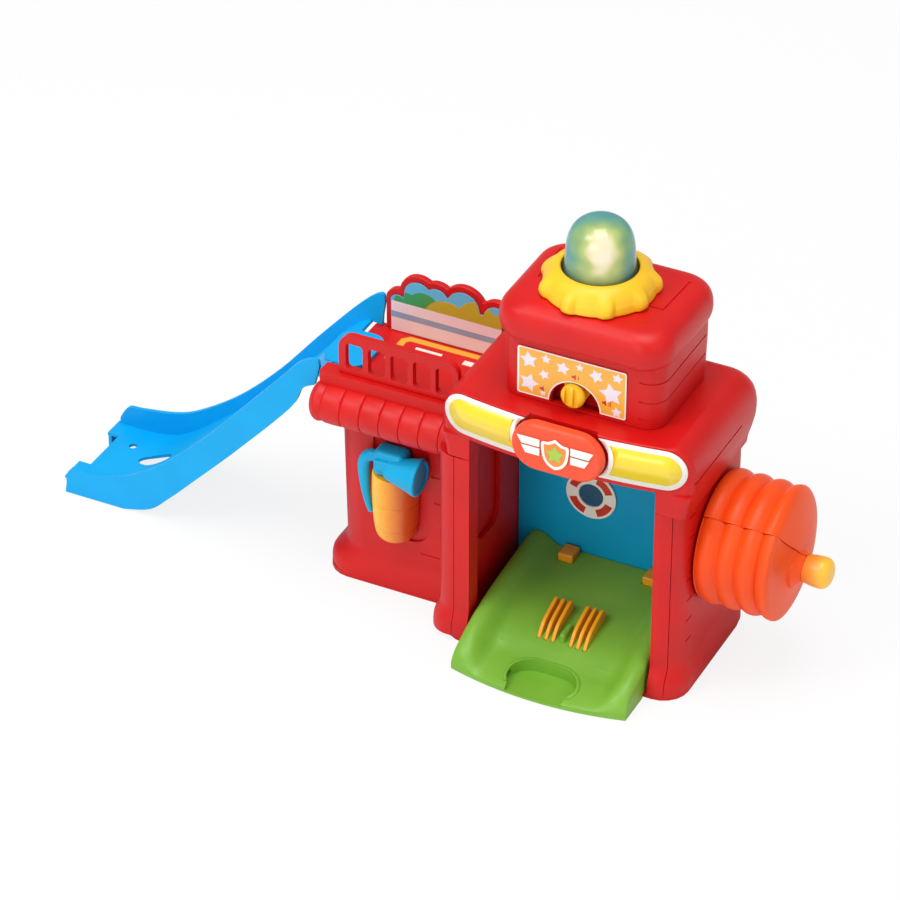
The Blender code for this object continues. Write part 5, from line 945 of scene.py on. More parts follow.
@dataclass
class RoofAndSign(Assembly):
    """Garage roof with its bowed sign face, the two strips and the badge button."""

    half: float = 67.9
    middle: float = 1.1
    back: float = 46.9
    front_corner: float = 4.0
    button_x: float = 1.9
    button_half: float = 24.25
    wall_front: float = -41.0
    sign_front: float = -46.0
    bow: float = 7.5
    emblem_front: float = -53.3
    bottom: float = 112.0
    step: float = 125.0
    top: float = 151.5
    centre: float = 139.0
    profile: tuple[Point, ...] = ((112.0, 3.0), (114.5, 2.8), (117.5, 2.2), (121.0, 1.3), (124.7, 0.6),
                                  (125.0, 0.6), (128.0, 0.15), (131.0, 0.0), (135.0, 0.0), (139.0, 0.5),
                                  (142.5, 1.4), (145.5, 2.9), (147.8, 4.6), (149.6, 6.6), (150.8, 8.8),
                                  (151.5, 11.5))

    def bow_front(self, place: Vector) -> Place:
        """Draw the ends of the sign face back along a parabola."""
        if place.z < self.step - 0.1:
            return tuple(place)
        share = max(0.0, min(1.0, (self.back - place.y) / (self.back - self.sign_front)))
        return (place.x, place.y + self.bow * ((place.x - self.middle) / self.half) ** 2 * share, place.z)

    def build_roof(self) -> None:
        """Roof cap with the doorway, the button's pocket and the side courses."""
        layers = []
        for z, inset in self.profile:
            recess = 1.0 if z == self.top else 0.0
            front = self.wall_front if z < self.step - 0.1 else self.sign_front + recess
            layers.append(Layer(z, self.middle - self.half + inset, self.middle + self.half - inset, front,
                                self.back - inset))
        roof = Piece.column("garage_roof_skin", layers, 10.0, 30, 12, self.front_corner)
        roof.shape(self.bow_front)
        x, reach = self.button_x, self.button_half + GAP
        pocket = rounded_rectangle(x - reach, x + reach, 124.4, 153.6, 13.4)
        roof.cut(Piece.block("hollow", (-58.8, -35.2, -OVERRUN), (58.8, 40.8, 146.5)),
                 Piece.block("doorway", (-50.2, -70.0, -OVERRUN), (50.2, 0.0, self.step)),
                 Piece.plate("pocket", Plane.FRONT, [pocket], -70.0, -42.8),
                 Piece.block("stem_hole", (x - 12.3, -50.0, 133.7), (x + 12.3, -30.0, 144.3)))
        side = self.middle + self.half
        for z in (131.5, 123.5):
            roof.cut(Piece.block("course", (side - 0.55, -60.0, z - 0.5), (side + OVERRUN, 20.0, z + 0.5)))
        roof.round_edges(0.7).smooth().settle(Finish.RED, "garage_roof")

    def face(self, x: float) -> float:
        """Depth of the sign face at a distance from the middle."""
        return self.sign_front + self.bow * ((x - self.middle) / self.half) ** 2

    def strip(self, name: str, outline: Sequence[Point], front: float, back: float) -> Piece:
        """Thin strip that follows the sign face inside an outline.

        Args:
            name: Name of the piece.
            outline: Outline seen from the front.
            front: How far its face stands in front of the sign face.
            back: How far its back stands in front of the sign face.

        Returns:
            The piece.
        """
        stations = [self.middle - 66.0 + 2.0 * i for i in range(67)]
        near = [(x, self.face(x) - front) for x in stations]
        far = [(x, self.face(x) - back) for x in reversed(stations)]
        strip = Piece.plate(name, Plane.FLOOR, [near + far], 120.0, 156.0)
        strip.keep(Piece.plate("outline", Plane.FRONT, [outline], -60.0, -20.0))
        return strip.weld()

    def stadium(self, side: int, inset: float, inner: float) -> list[Point]:
        """Half of a stadium that stops round the button.

        Args:
            side: -1 on the left, 1 on the right.
            inset: How far it is drawn in.
            inner: Gap to the button's edge.

        Returns:
            The outline's points.
        """
        radius = 11.25 - inset
        end = 65.1 + side * self.middle - inset
        tip = arc(end - radius, self.centre, radius, QUARTER, -math.pi, 20)
        reach = 13.4 + inner
        start = self.button_half - 13.4 + side * self.button_x
        low = [(start + math.sqrt(max(reach ** 2 - (radius - 2 * radius * i / 12) ** 2, 0.0)),
                self.centre - radius + 2 * radius * i / 12) for i in range(13)]
        return [(side * x, z) for x, z in tip + low]

    def build_strips(self) -> None:
        """White strips with a yellow field on both sides of the button."""
        for side, name in ((-1, "left"), (1, "right")):
            node = f"sign_sticker_{name}"
            base = self.strip(f"{node}_border", self.stadium(side, 0.0, 0.9), 0.8, 0.3)
            base.settle(Finish.INK_WHITE, node)
            print_face = self.strip(f"{node}_field", self.stadium(side, 2.6, 3.4), 0.8 + PRINT, 0.8)
            print_face.settle(Finish.INK_YELLOW, node, replaces=False)

    def build_button(self) -> None:
        """Pill button with its stem and catches."""
        x, half = self.button_x, self.button_half
        outline = rounded_rectangle(x - half, x + half, 125.6, 152.4, 13.35, 20)
        pill = Piece.plate("badge_button_skin", Plane.FRONT, [outline], -52.5, -45.6)
        pill.round_edges(2.2, 6, 60.0)
        pill.join(Piece.block("stem", (x - 12.0, -46.5, 134.0), (x + 12.0, -32.8, 144.0)),
                  Piece.block("catch", (x - 14.0, -34.9, 132.0), (x + 14.0, -32.7, 146.0)))
        pill.face_out().smooth().settle(Finish.BADGE, "badge_button", "badge")

    def build_emblem(self) -> None:
        """Plain badge on the button: a shield with a star, and two bars on each side."""
        front, back = self.emblem_front, self.emblem_front + 0.5
        shield = ((0.0, -9.0), (3.4, -7.4), (5.9, -4.4), (7.0, -0.4), (7.3, 5.4), (3.8, 6.2), (0.0, 8.6))
        half = smooth_line(shield, 3)
        outline = [*half, *((-x, z) for x, z in reversed(half[1:-1]))]

        def placed(points: Iterable[Point]) -> list[Point]:
            return [(self.button_x + x, self.centre + z) for x, z in points]

        base = Piece.plate("badge_emblem_shield", Plane.FRONT, [placed(outline)], front, back)
        base.settle(Finish.INK_WHITE, "badge_emblem", "badge")
        small = [(x * 0.80, z * 0.80) for x, z in outline]
        prints = [("field", Finish.INK_SHIELD, small, front - PRINT, front),
                  ("star", Finish.INK_LEAF, star(0.0, -0.3, 5.0, 0.0), front - 2 * PRINT, front - PRINT)]
        for side, name in ((-1, "left"), (1, "right")):
            for number, (z, end) in enumerate(((3.6, 20.4), (-1.5, 18.2))):
                bar = ((8.3, z - 2.1), (end - 2.4, z - 2.1), (end, z + 2.1), (8.3, z + 2.1))
                prints.append((f"bar_{name}_{number}", Finish.INK_WHITE, [(side * x, v + 0.4) for x, v in bar],
                               front, back))
        for name, ink, points, near, far in prints:
            print_on(f"badge_emblem_{name}", "badge_emblem", ink, placed(points), near, far, body="badge")


@dataclass
class Tower(Assembly):
    """Tower on the roof with its front sticker, volume switch and cap."""

    half: float = 43.2
    middle: float = 4.4
    front: float = -31.5
    back: float = 31.7
    bottom: float = 151.8
    top: float = 186.5
    corner: float = 10.0
    switch_x: float = 2.2
    switch_z: float = 154.5
    slot: float = 13.0
    sticker: str = "tower_sticker"
    stars: tuple[tuple[float, float, float, float], ...] = (
        (-22.4, 174.6, 4.9, 8.0), (-22.2, 161.6, 5.4, -14.0), (-14.0, 168.4, 3.0, 20.0),
        (-13.2, 177.6, 2.7, 0.0), (-4.2, 175.0, 3.9, -10.0), (21.6, 167.4, 6.4, 12.0),
        (24.8, 177.4, 3.0, -8.0), (13.6, 175.6, 4.0, 24.0), (24.6, 157.8, 3.0, 6.0), (4.8, 177.9, 2.3, 0.0),
        (-14.6, 157.6, 1.9, 10.0))

    def arch(self, radius: float) -> list[Point]:
        """Half circle over the switch on a short straight foot."""
        curve = arc(self.switch_x, self.switch_z, radius, 0.0, math.pi, 32)
        return [(self.switch_x + radius, 152.9), *curve, (self.switch_x - radius, 152.9)]

    def build_walls(self) -> None:
        """Square tube with round corners, the arch slot, its pin and the wrapping courses."""
        left, right = self.middle - self.half, self.middle + self.half
        layers = [Layer(self.bottom + (self.top - self.bottom) * rise, left + inset, right - inset,
                        self.front, self.back - inset)
                  for rise, inset in ((0.0, 0.8), (0.15, 0.55), (0.35, 0.25), (0.7, 0.0), (1.0, 0.0))]
        tower = Piece.column("tower_walls_skin", layers, self.corner, corner_steps=14)
        inner = Layer(140.0, left + 3.0, right - 3.0, self.front + 3.0, self.back - 3.0)
        outer = Layer(200.0, inner.left, inner.right, inner.front, inner.back)
        tower.cut(Piece.column("hollow", [inner, outer], 7.0),
                  Piece.plate("arch", Plane.FRONT, [self.arch(self.slot)], -50.0, -28.2))
        for z in (178.0, 167.0, 157.0):
            tower.cut(self.course(z))
        x, z = self.switch_x, self.switch_z
        tower.join(Piece.block("pin_bridge", (x - 1.6, -30.0, 152.1), (x + 1.6, -28.8, z)),
                   Piece.rod("pin", (x, -30.0, z), (x, -24.5, z), 1.3, steps=20))
        tower.round_edges(0.45, 2).smooth().settle(Finish.RED, "tower_walls")

    def course(self, z: float) -> Piece:
        """Shallow groove along the right wall and round its front corner.

        Args:
            z: Height of the groove.

        Returns:
            The cutter.
        """
        depth = 0.5
        outer = rounded_rectangle(36.0, 64.0, -50.0, 22.0, 2.0)
        groove = Piece.plate("course", Plane.FLOOR, [outer], z - COURSE, z + COURSE)
        left, right = self.middle - self.half + depth, self.middle + self.half - depth
        inner = rounded_rectangle(left, right, self.front + depth, self.back - depth, self.corner - depth, 14)
        return groove.cut(Piece.plate("course_core", Plane.FLOOR, [inner], z - 2.0, z + 2.0))

    def build_sticker(self) -> None:
        """Yellow front sticker with pale stars, a white rim and volume marks."""
        back = self.front - 0.3
        front = back - 0.5
        for name, outline, gap, low, high in (
                ("base", rounded_rectangle(-28.5, 29.5, 154.5, 181.5, 1.2, 5), 0.6, front, back),
                ("field", rounded_rectangle(-27.5, 28.9, 155.3, 180.9, 1.0, 5), 1.3, front - PRINT, front)):
            layer = Piece.plate(f"tower_sticker_{name}", Plane.FRONT, [outline], low, high)
            hole = Piece.plate("sticker_hole", Plane.FRONT, [self.arch(self.slot + gap)], -50.0, -20.0)
            layer.cut(hole).weld()
            if name == "base":
                layer.settle(Finish.INK_WHITE, self.sticker)
            else:
                layer.settle(Finish.INK_ORANGE, self.sticker, replaces=False)
        near = front - PRINT
        for number, place in enumerate(self.stars):
            outline = star(*place)
            print_on(f"tower_sticker_star_{number}", self.sticker, Finish.INK_STAR, outline, near - PRINT, near)
        self.draw_marks(near)

    def draw_marks(self, near: float) -> None:
        """Plain loudspeaker marks for off, low and high beside and above the arch.

        Args:
            near: Depth of the printed field's face.
        """
        for name, x, z, waves in (("off", -14.8, 160.0, 0), ("low", 2.2, 171.6, 1), ("high", 18.6, 161.6, 2)):
            horn = [(x - 1.6, z - 0.6), (x - 0.7, z - 0.6), (x + 0.6, z - 1.6), (x + 0.6, z + 1.6),
                    (x - 0.7, z + 0.6), (x - 1.6, z + 0.6)]
            marks = [(f"volume_mark_{name}", horn)]
            for wave in range(waves):
                inner, outer = (arc(x + 0.6, z, 1.3 + 0.9 * wave + more, math.radians(-40), math.radians(80), 8)
                                for more in (0.0, 0.4))
                marks.append((f"volume_wave_{name}_{wave}", outer + inner[::-1]))
            for mark, outline in marks:
                print_on(mark, self.sticker, Finish.INK_MARK, outline, near - PRINT, near)

    def build_switch(self) -> None:
        """Yellow sector behind the slot with a round, grooved knob in front."""
        x, z, spread = self.switch_x, self.switch_z, math.radians(38.0)
        rim = [(x + 15.0 * math.sin(spread * (1 - i / 12)), z + 15.0 * math.cos(spread * (1 - i / 12)))
               for i in range(25)]
        outline = [(x + 2.6, z), *rim, (x - 2.6, z)]
        sector = Piece.plate("volume_switch_skin", Plane.FRONT, [outline], -28.2, -26.2)
        knob_z = z + 7.2
        profile = ((0.0, 4.2), (3.6, 4.2), (4.6, 4.0), (5.6, 3.3), (6.2, 2.2), (6.3, 1.0), (6.3, 0.3),
                   (6.0, 0.0), (0.0, 0.0))
        knob = Piece.turned("knob", profile, (x, -32.6, knob_z), (0, -1, 0), 64)
        for low, high in ((x - 3.4, x - 1.0), (x + 1.0, x + 3.4)):
            knob.cut(Piece.block("grip", (low, -45.0, knob_z - 8.0), (high, -35.4, knob_z + 8.0)))
        sector.join(Piece.rod("hub", (x, -28.2, z), (x, -26.2, z), 2.6),
                    Piece.rod("neck", (x, -33.4, knob_z), (x, -27.2, knob_z), 4.0), knob)
        sector.cut(Piece.rod("bore", (x, -40.0, z), (x, -10.0, z), 1.6))
        sector.round_edges(0.25, 2).smooth().settle(Finish.YELLOW, "volume_switch", "volume")

    def build_cap(self) -> None:
        """Pillow-shaped lid with the beacon's hole and two panel seams."""
        start, finish = 186.8, 206.5
        curve = smooth_line(((0.0, 3.6), (0.06, 1.6), (0.16, 0.55), (0.34, 0.0), (0.56, 0.25), (0.74, 1.3),
                             (0.86, 3.0), (0.94, 5.2), (0.985, 7.8), (1.0, 10.5)), 3)
        x = self.middle
        layers = [Layer(start + (finish - start) * rise, x - 46.1 + inset, x + 46.1 - inset, -38.0 + inset,
                        34.6 - inset) for rise, inset in curve]
        cap = Piece.column("tower_cap_skin", layers, 14.0, corner_steps=16)
        cap.cut(Piece.plate("hollow", Plane.FLOOR, [rounded_rectangle(x - 42.0, x + 42.0, -30.3, 30.5, 10.0)],
                            170.0, 202.5),
                Piece.rod("beacon_hole", (1.5, -3.7, 180.0), (1.5, -3.7, 220.0), 16.2, steps=64))
        for side in (-1, 1):
            near, far = x + side * 33.2, x + side * 34.6
            seam = [(near - 0.9, -8.0), (near + 0.9, -8.0), (far + 0.9, 21.0), (far - 0.9, 21.0)]
            cap.cut(Piece.plate("seam", Plane.FLOOR, [seam], 205.9, 220.0))
            low, high = sorted((near, near - side * 9.0))
            cap.cut(Piece.block("seam", (low, -8.6, 206.0), (high, -7.8, 220.0)))
        cap.round_edges(0.3, 2).smooth().settle(Finish.RED, "tower_cap")


@dataclass
class Beacon(Assembly):
    """Beacon: scalloped collar, tinted dome and the lamp inside it."""

    x: float = 1.5
    y: float = -3.7
    coil: float = 14.1
    press: float = 3.1
    lobes: int = 9
    wave: float = 2.6

    def build_collar(self) -> None:
        """Yellow collar with nine soft knobs round its outer rim."""
        outer = smooth_line(((28.0, 206.8), (28.8, 207.4), (29.1, 209.2), (28.7, 211.6), (27.4, 214.2),
                             (25.2, 216.8), (22.6, 218.8), (20.9, 219.5), (19.9, 219.7)), 4)
        profile = [(22.0, 206.8), *outer, (19.2, 219.4), (19.2, 211.5), (22.0, 211.5), (22.0, 206.8)]
        collar = Piece.turned("beacon_collar_skin", profile, (self.x, self.y, 0.0), steps=160)

        def scallop(place: Vector) -> Place:
            x, y = place.x - self.x, place.y - self.y
            radius = math.hypot(x, y)
            fade = max(0.0, min(1.0, (218.0 - place.z) / 5.0, (place.z - 203.5) / 6.0))
            share = 0.0 if radius < 22.1 else fade
            swing = math.cos(self.lobes * (math.atan2(y, x) + math.radians(59.0)))
            knob = 1.0 - (1.0 - max(0.0, swing)) ** 2.0
            grow = 1.0 + share * self.wave * (knob ** 2.4 - 0.45) / radius
            return (self.x + x * grow, self.y + y * grow, place.z)

        collar.shape(scallop).smooth(30.0).settle(Finish.YELLOW, "beacon_collar")

    def build_dome(self) -> None:
        """Clear dome with a wall of its own, its flange and its skirt."""
        outer = smooth_line(((0.0, 246.3), (4.6, 245.9), (9.2, 244.3), (13.0, 241.3), (15.4, 237.2),
                             (16.7, 232.0), (17.2, 226.0), (17.7, 220.0), (18.3, 214.6), (18.4, 211.2)), 4)
        inner = [(max(r - 1.8, 0.0), z - 1.8 * max(0.0, (z - 229.0) / 17.3)) for r, z in reversed(outer)]
        profile = [*outer, (21.3, 211.2), (21.3, 209.9), (15.5, 209.9), (15.5, 198.5), (13.7, 198.5),
                   (13.7, 211.2), (15.6, 213.0), *[point for point in inner if point[1] > 214.0]]
        dome = Piece.turned("beacon_dome_skin", profile, (self.x, self.y, 0.0), steps=96)
        dome.smooth(30.0).settle(Finish.DOME, "beacon_dome", "beacon")

    def build_lamp(self) -> None:
        """Lamp with a round lens on its foot."""
        lens = [(2.5 * math.sin(QUARTER * i / 8), 195.1 + 2.5 * math.cos(QUARTER * i / 8)) for i in range(9)]
        lamp = Piece.turned("beacon_lamp_skin", [*lens, (2.5, 190.8), (3.4, 190.8), (3.4, 189.1), (0.0, 189.1)],
                            (self.x, self.y, 0.0), steps=32)
        lamp.smooth().settle(Finish.LAMP, "beacon_lamp")

    def build_spring(self) -> None:
        """Coil spring under the dome's skirt, at the length it has before the dome is pressed."""
        wire, turns, steps = 0.5, 3, 32
        low, high = (corner.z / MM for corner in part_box("dome_spring"))
        count = turns * steps
        path = []
        for i in range(count + 1):
            angle = 2 * math.pi * i / steps
            path.append((self.x + self.coil * math.cos(angle), self.y + self.coil * math.sin(angle),
                         low + wire + (high - low - 2 * wire) * i / count))
        spring = Piece.hose("dome_spring_skin", path, [wire] * len(path)).smooth()
        spring.settle(Finish.STEEL, "dome_spring")
        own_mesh(spring.thing)


@dataclass
class LeftBlock(Assembly):
    """Left block: walls, roof deck with its road, tile roll, railing and cloud board."""

    garage: GarageBlock
    left: float = -140.2
    right: float = -64.8
    front: float = -16.0
    back: float = 41.5
    corner: float = 15.0
    bottom: float = 2.8
    top: float = 116.7
    line: float = -67.1
    deck: float = 119.5
    lobes: tuple[Place, ...] = ((-129.13, 144.5, 8.0), (-117.81, 154.8, 11.0), (-107.33, 153.9, 10.0),
                                (-92.34, 156.0, 12.5), (-73.88, 152.3, 10.0))

    def level(self, z: float, share: float, inset: float = 0.0) -> Layer:
        """Rectangle round the block's plan at a height, drawn in a little lower down and flared by the foot."""
        lean = 2.2 * (self.top - z) / (self.top - self.bottom)
        return Layer(z, self.left + lean - 8.2 * share + inset, -45.3, self.front - 4.2 * share + inset,
                     self.back + 4.2 * share - inset)

    def build_walls(self) -> None:
        """Walls that end against the garage, with the recess and faint courses."""
        walls = Piece.column("block_walls_skin", foot_layers(self.level, self.top), self.corner + 3.0,
                             corner_steps=14)
        inner = [self.level(-OVERRUN, 0.0, 2.7), self.level(140.0, 0.0, 2.7)]
        walls.cut(Piece.column("hollow", inner, self.corner - 2.7),
                  Piece.block("end", (self.right, -40.0, -OVERRUN), (0.0, 60.0, 140.0)),
                  self.garage.shell("garage_space", GAP),
                  Piece.block("roof_space", (self.line, -40.0, 111.4), (0.0, 60.0, 140.0)),
                  Piece.plate("recess", Plane.FRONT, [rounded_rectangle(-116.5, -85.0, 32.0, 100.0, 10.0)],
                              -40.0, self.front + 1.3))
        for low, high, z in ((-84.0, -70.0, 76.0), (-82.0, -61.0, 60.0), (-90.0, -74.0, 26.0),
                             (-139.0, -126.0, 70.0)):
            walls.cut(Piece.block("course", (low, -40.0, z - COURSE), (high, self.front + COURSE, z + COURSE)))
        walls.round_edges(0.6).smooth().settle(Finish.RED, "block_walls")

    def build_deck(self) -> None:
        """Deck plate with its yellow road line and white dashes."""
        outline = rounded_rectangle(-143.0, self.line, self.front, self.back, 4.0)
        plate = Piece.plate("deck_plate_skin", Plane.FLOOR, [outline], 117.0, self.deck)
        plate.cut(Piece.rod("peg_hole", (-136.0, 10.75, 100.0), (-136.0, 10.75, 130.0), 3.3))
        plate.round_edges(0.4, 2).smooth().settle(Finish.RED, "deck_plate")
        road = [(self.line - 1.0, 35.2), (-121.0, 35.2), (-124.6, 31.6), (-124.6, 12.0), (-120.8, 12.0),
                (-120.8, 29.9), (-119.3, 31.4), (self.line - 1.0, 31.4)]
        prints = [("deck_road_line", Finish.INK_ROAD, road)]
        for number, (low, high) in enumerate(((-114.0, -99.0), (-86.5, -76.0))):
            dash = [(low, 24.0), (high, 24.0), (high, 27.8), (low, 27.8)]
            prints.append((f"deck_dash_{number}", Finish.INK_DASH, dash))
        for name, ink, outline in prints:
            print_on(name, "deck_plate", ink, outline, self.deck, self.deck + PRINT, Plane.FLOOR)

    def build_edge(self) -> None:
        """Roll of round tiles under a square ledge."""
        bottom, top, back, step = 113.0, 126.5, -16.3, self.deck + GAP
        outline = [(-22.0, bottom), (back, bottom), (back, step), (-13.3, step), (-13.3, top), (-22.0, top)]
        ledge = Piece.plate("roof_edge_skin", Plane.SIDE, [outline], -143.5, self.line)
        profile = [(0.0, 81.0), (10.9, 81.0)]
        for number in range(7, 0, -1):
            place = 11.1 * number - 2.0
            high = min(place + 11.1, 81.0)
            for share, less in ((0.97, 0.35), (0.88, 0.1), (0.5, 0.0), (0.12, 0.1), (0.05, 0.3)):
                z = place + (high - place) * share
                if z < 80.9:
                    profile.append((11.2 - less, z))
            profile.append((10.3, place))
        profile += [(11.2 * math.cos(QUARTER * i / 8), 6.0 * (1 - math.sin(QUARTER * i / 8)))
                    for i in range(9)][:-1] + [(0.0, 0.0)]
        roll = Piece.turned("tile_roll", profile, (-148.4, -20.5, 108.2), (1, 0, 0), 96)
        roll.cut(Piece.block("roll_back", (-160.0, back - GAP, 90.0), (-50.0, 0.0, 140.0)),
                 Piece.block("slide_space", (-160.0, -18.8, 90.0), (-143.5, 0.0, 140.0)))
        ledge.join(roll).round_edges(0.5, 2, 50.0).smooth(40.0)
        ledge.settle(Finish.RED, "roof_edge")

    def build_railing(self) -> None:
        """Railing with a rounded left end and a right end that dips to the garage roof."""
        low, high, left, right = 126.8, 150.0, -134.0, self.line
        start = arc(left + 8.0, high - 8.0, 8.0, QUARTER, QUARTER, 10)
        end = arc(right - 7.0, high - 7.0, 7.0, 0.0, QUARTER, 8)
        loops = [[(left, low), (right, low), *end, *start]]
        for number in range(5):
            edge = right - 3.0 - 12.6 * number
            loops.append(rounded_rectangle(edge - 9.6, edge, low + 3.0, high - 5.0, 2.2, 6))
        railing = Piece.plate("railing_skin", Plane.FRONT, loops, -19.0, -15.4)
        railing.round_edges(1.0, 4).smooth().settle(Finish.RED, "railing")

    def cloud(self, name: str, inset: float, front: float, back: float) -> Piece:
        """Board whose top edge runs along the lobes.

        Args:
            name: Name of the piece.
            inset: How far the outline is drawn in.
            front: Depth of its face.
            back: Depth of its back.

        Returns:
            The piece.
        """
        left, right = -136.5 + inset, self.line - inset
        top = []
        for i in range(121):
            x = right + (left - right) * i / 120
            heights = [self.deck + (6.4 if x < -131.0 else 17.0 if x < -120.0 else 25.0) - 0.5 * inset]
            for centre, crown, radius in self.lobes:
                less = radius - inset
                if abs(x - centre) < less:
                    heights.append(crown - inset - less + math.sqrt(less ** 2 - (x - centre) ** 2))
            top.append((x, max(heights)))
        outline = [(left, self.deck + GAP), (right, self.deck + GAP), *top]
        return Piece.plate(name, Plane.FRONT, [outline], front, back)

    def build_cloud(self) -> None:
        """Scalloped board with a plain printed landscape: sky, bush, hills and a fence."""
        board = self.cloud("cloud_board_skin", 0.0, 38.0, 41.5)
        board.round_edges(0.9).smooth().settle(Finish.RED, "cloud_board")
        face = 37.2
        self.cloud("cloud_sticker_sky", 3.2, face, 37.7).settle(Finish.INK_SKY, "cloud_sticker")
        prints = (
            (Finish.INK_BUSH, "bush", [ring(-124.0, 138.0, 7.5, 6.0), ring(-114.5, 139.0, 8.5, 7.5)]),
            (Finish.INK_HILL, "hill", [ring(-101.0, 134.0, 13.0, 11.0), ring(-84.0, 136.0, 12.0, 13.5),
                                       ring(-71.0, 134.0, 9.0, 11.5)]),
            (Finish.INK_FENCE, "fence", [[(-133.0, 120.0), (-70.5, 120.0), (-70.5, 137.0), (-133.0, 137.5)]]),
            (Finish.INK_STRIPE, "stripe", [[(-133.0, 128.0), (-70.5, 127.5), (-70.5, 131.0), (-133.0, 131.5)]]))
        for depth, (ink, name, shapes) in enumerate(prints, 1):
            for number, outline in enumerate(shapes):
                near = face - PRINT * depth - (0.02 * number)
                patch = Piece.plate(f"cloud_print_{name}_{number}", Plane.FRONT, [outline], near, face)
                patch.keep(self.cloud("limits", 3.4, 30.0, 45.0))
                patch.weld().settle(ink, "cloud_sticker", replaces=False)


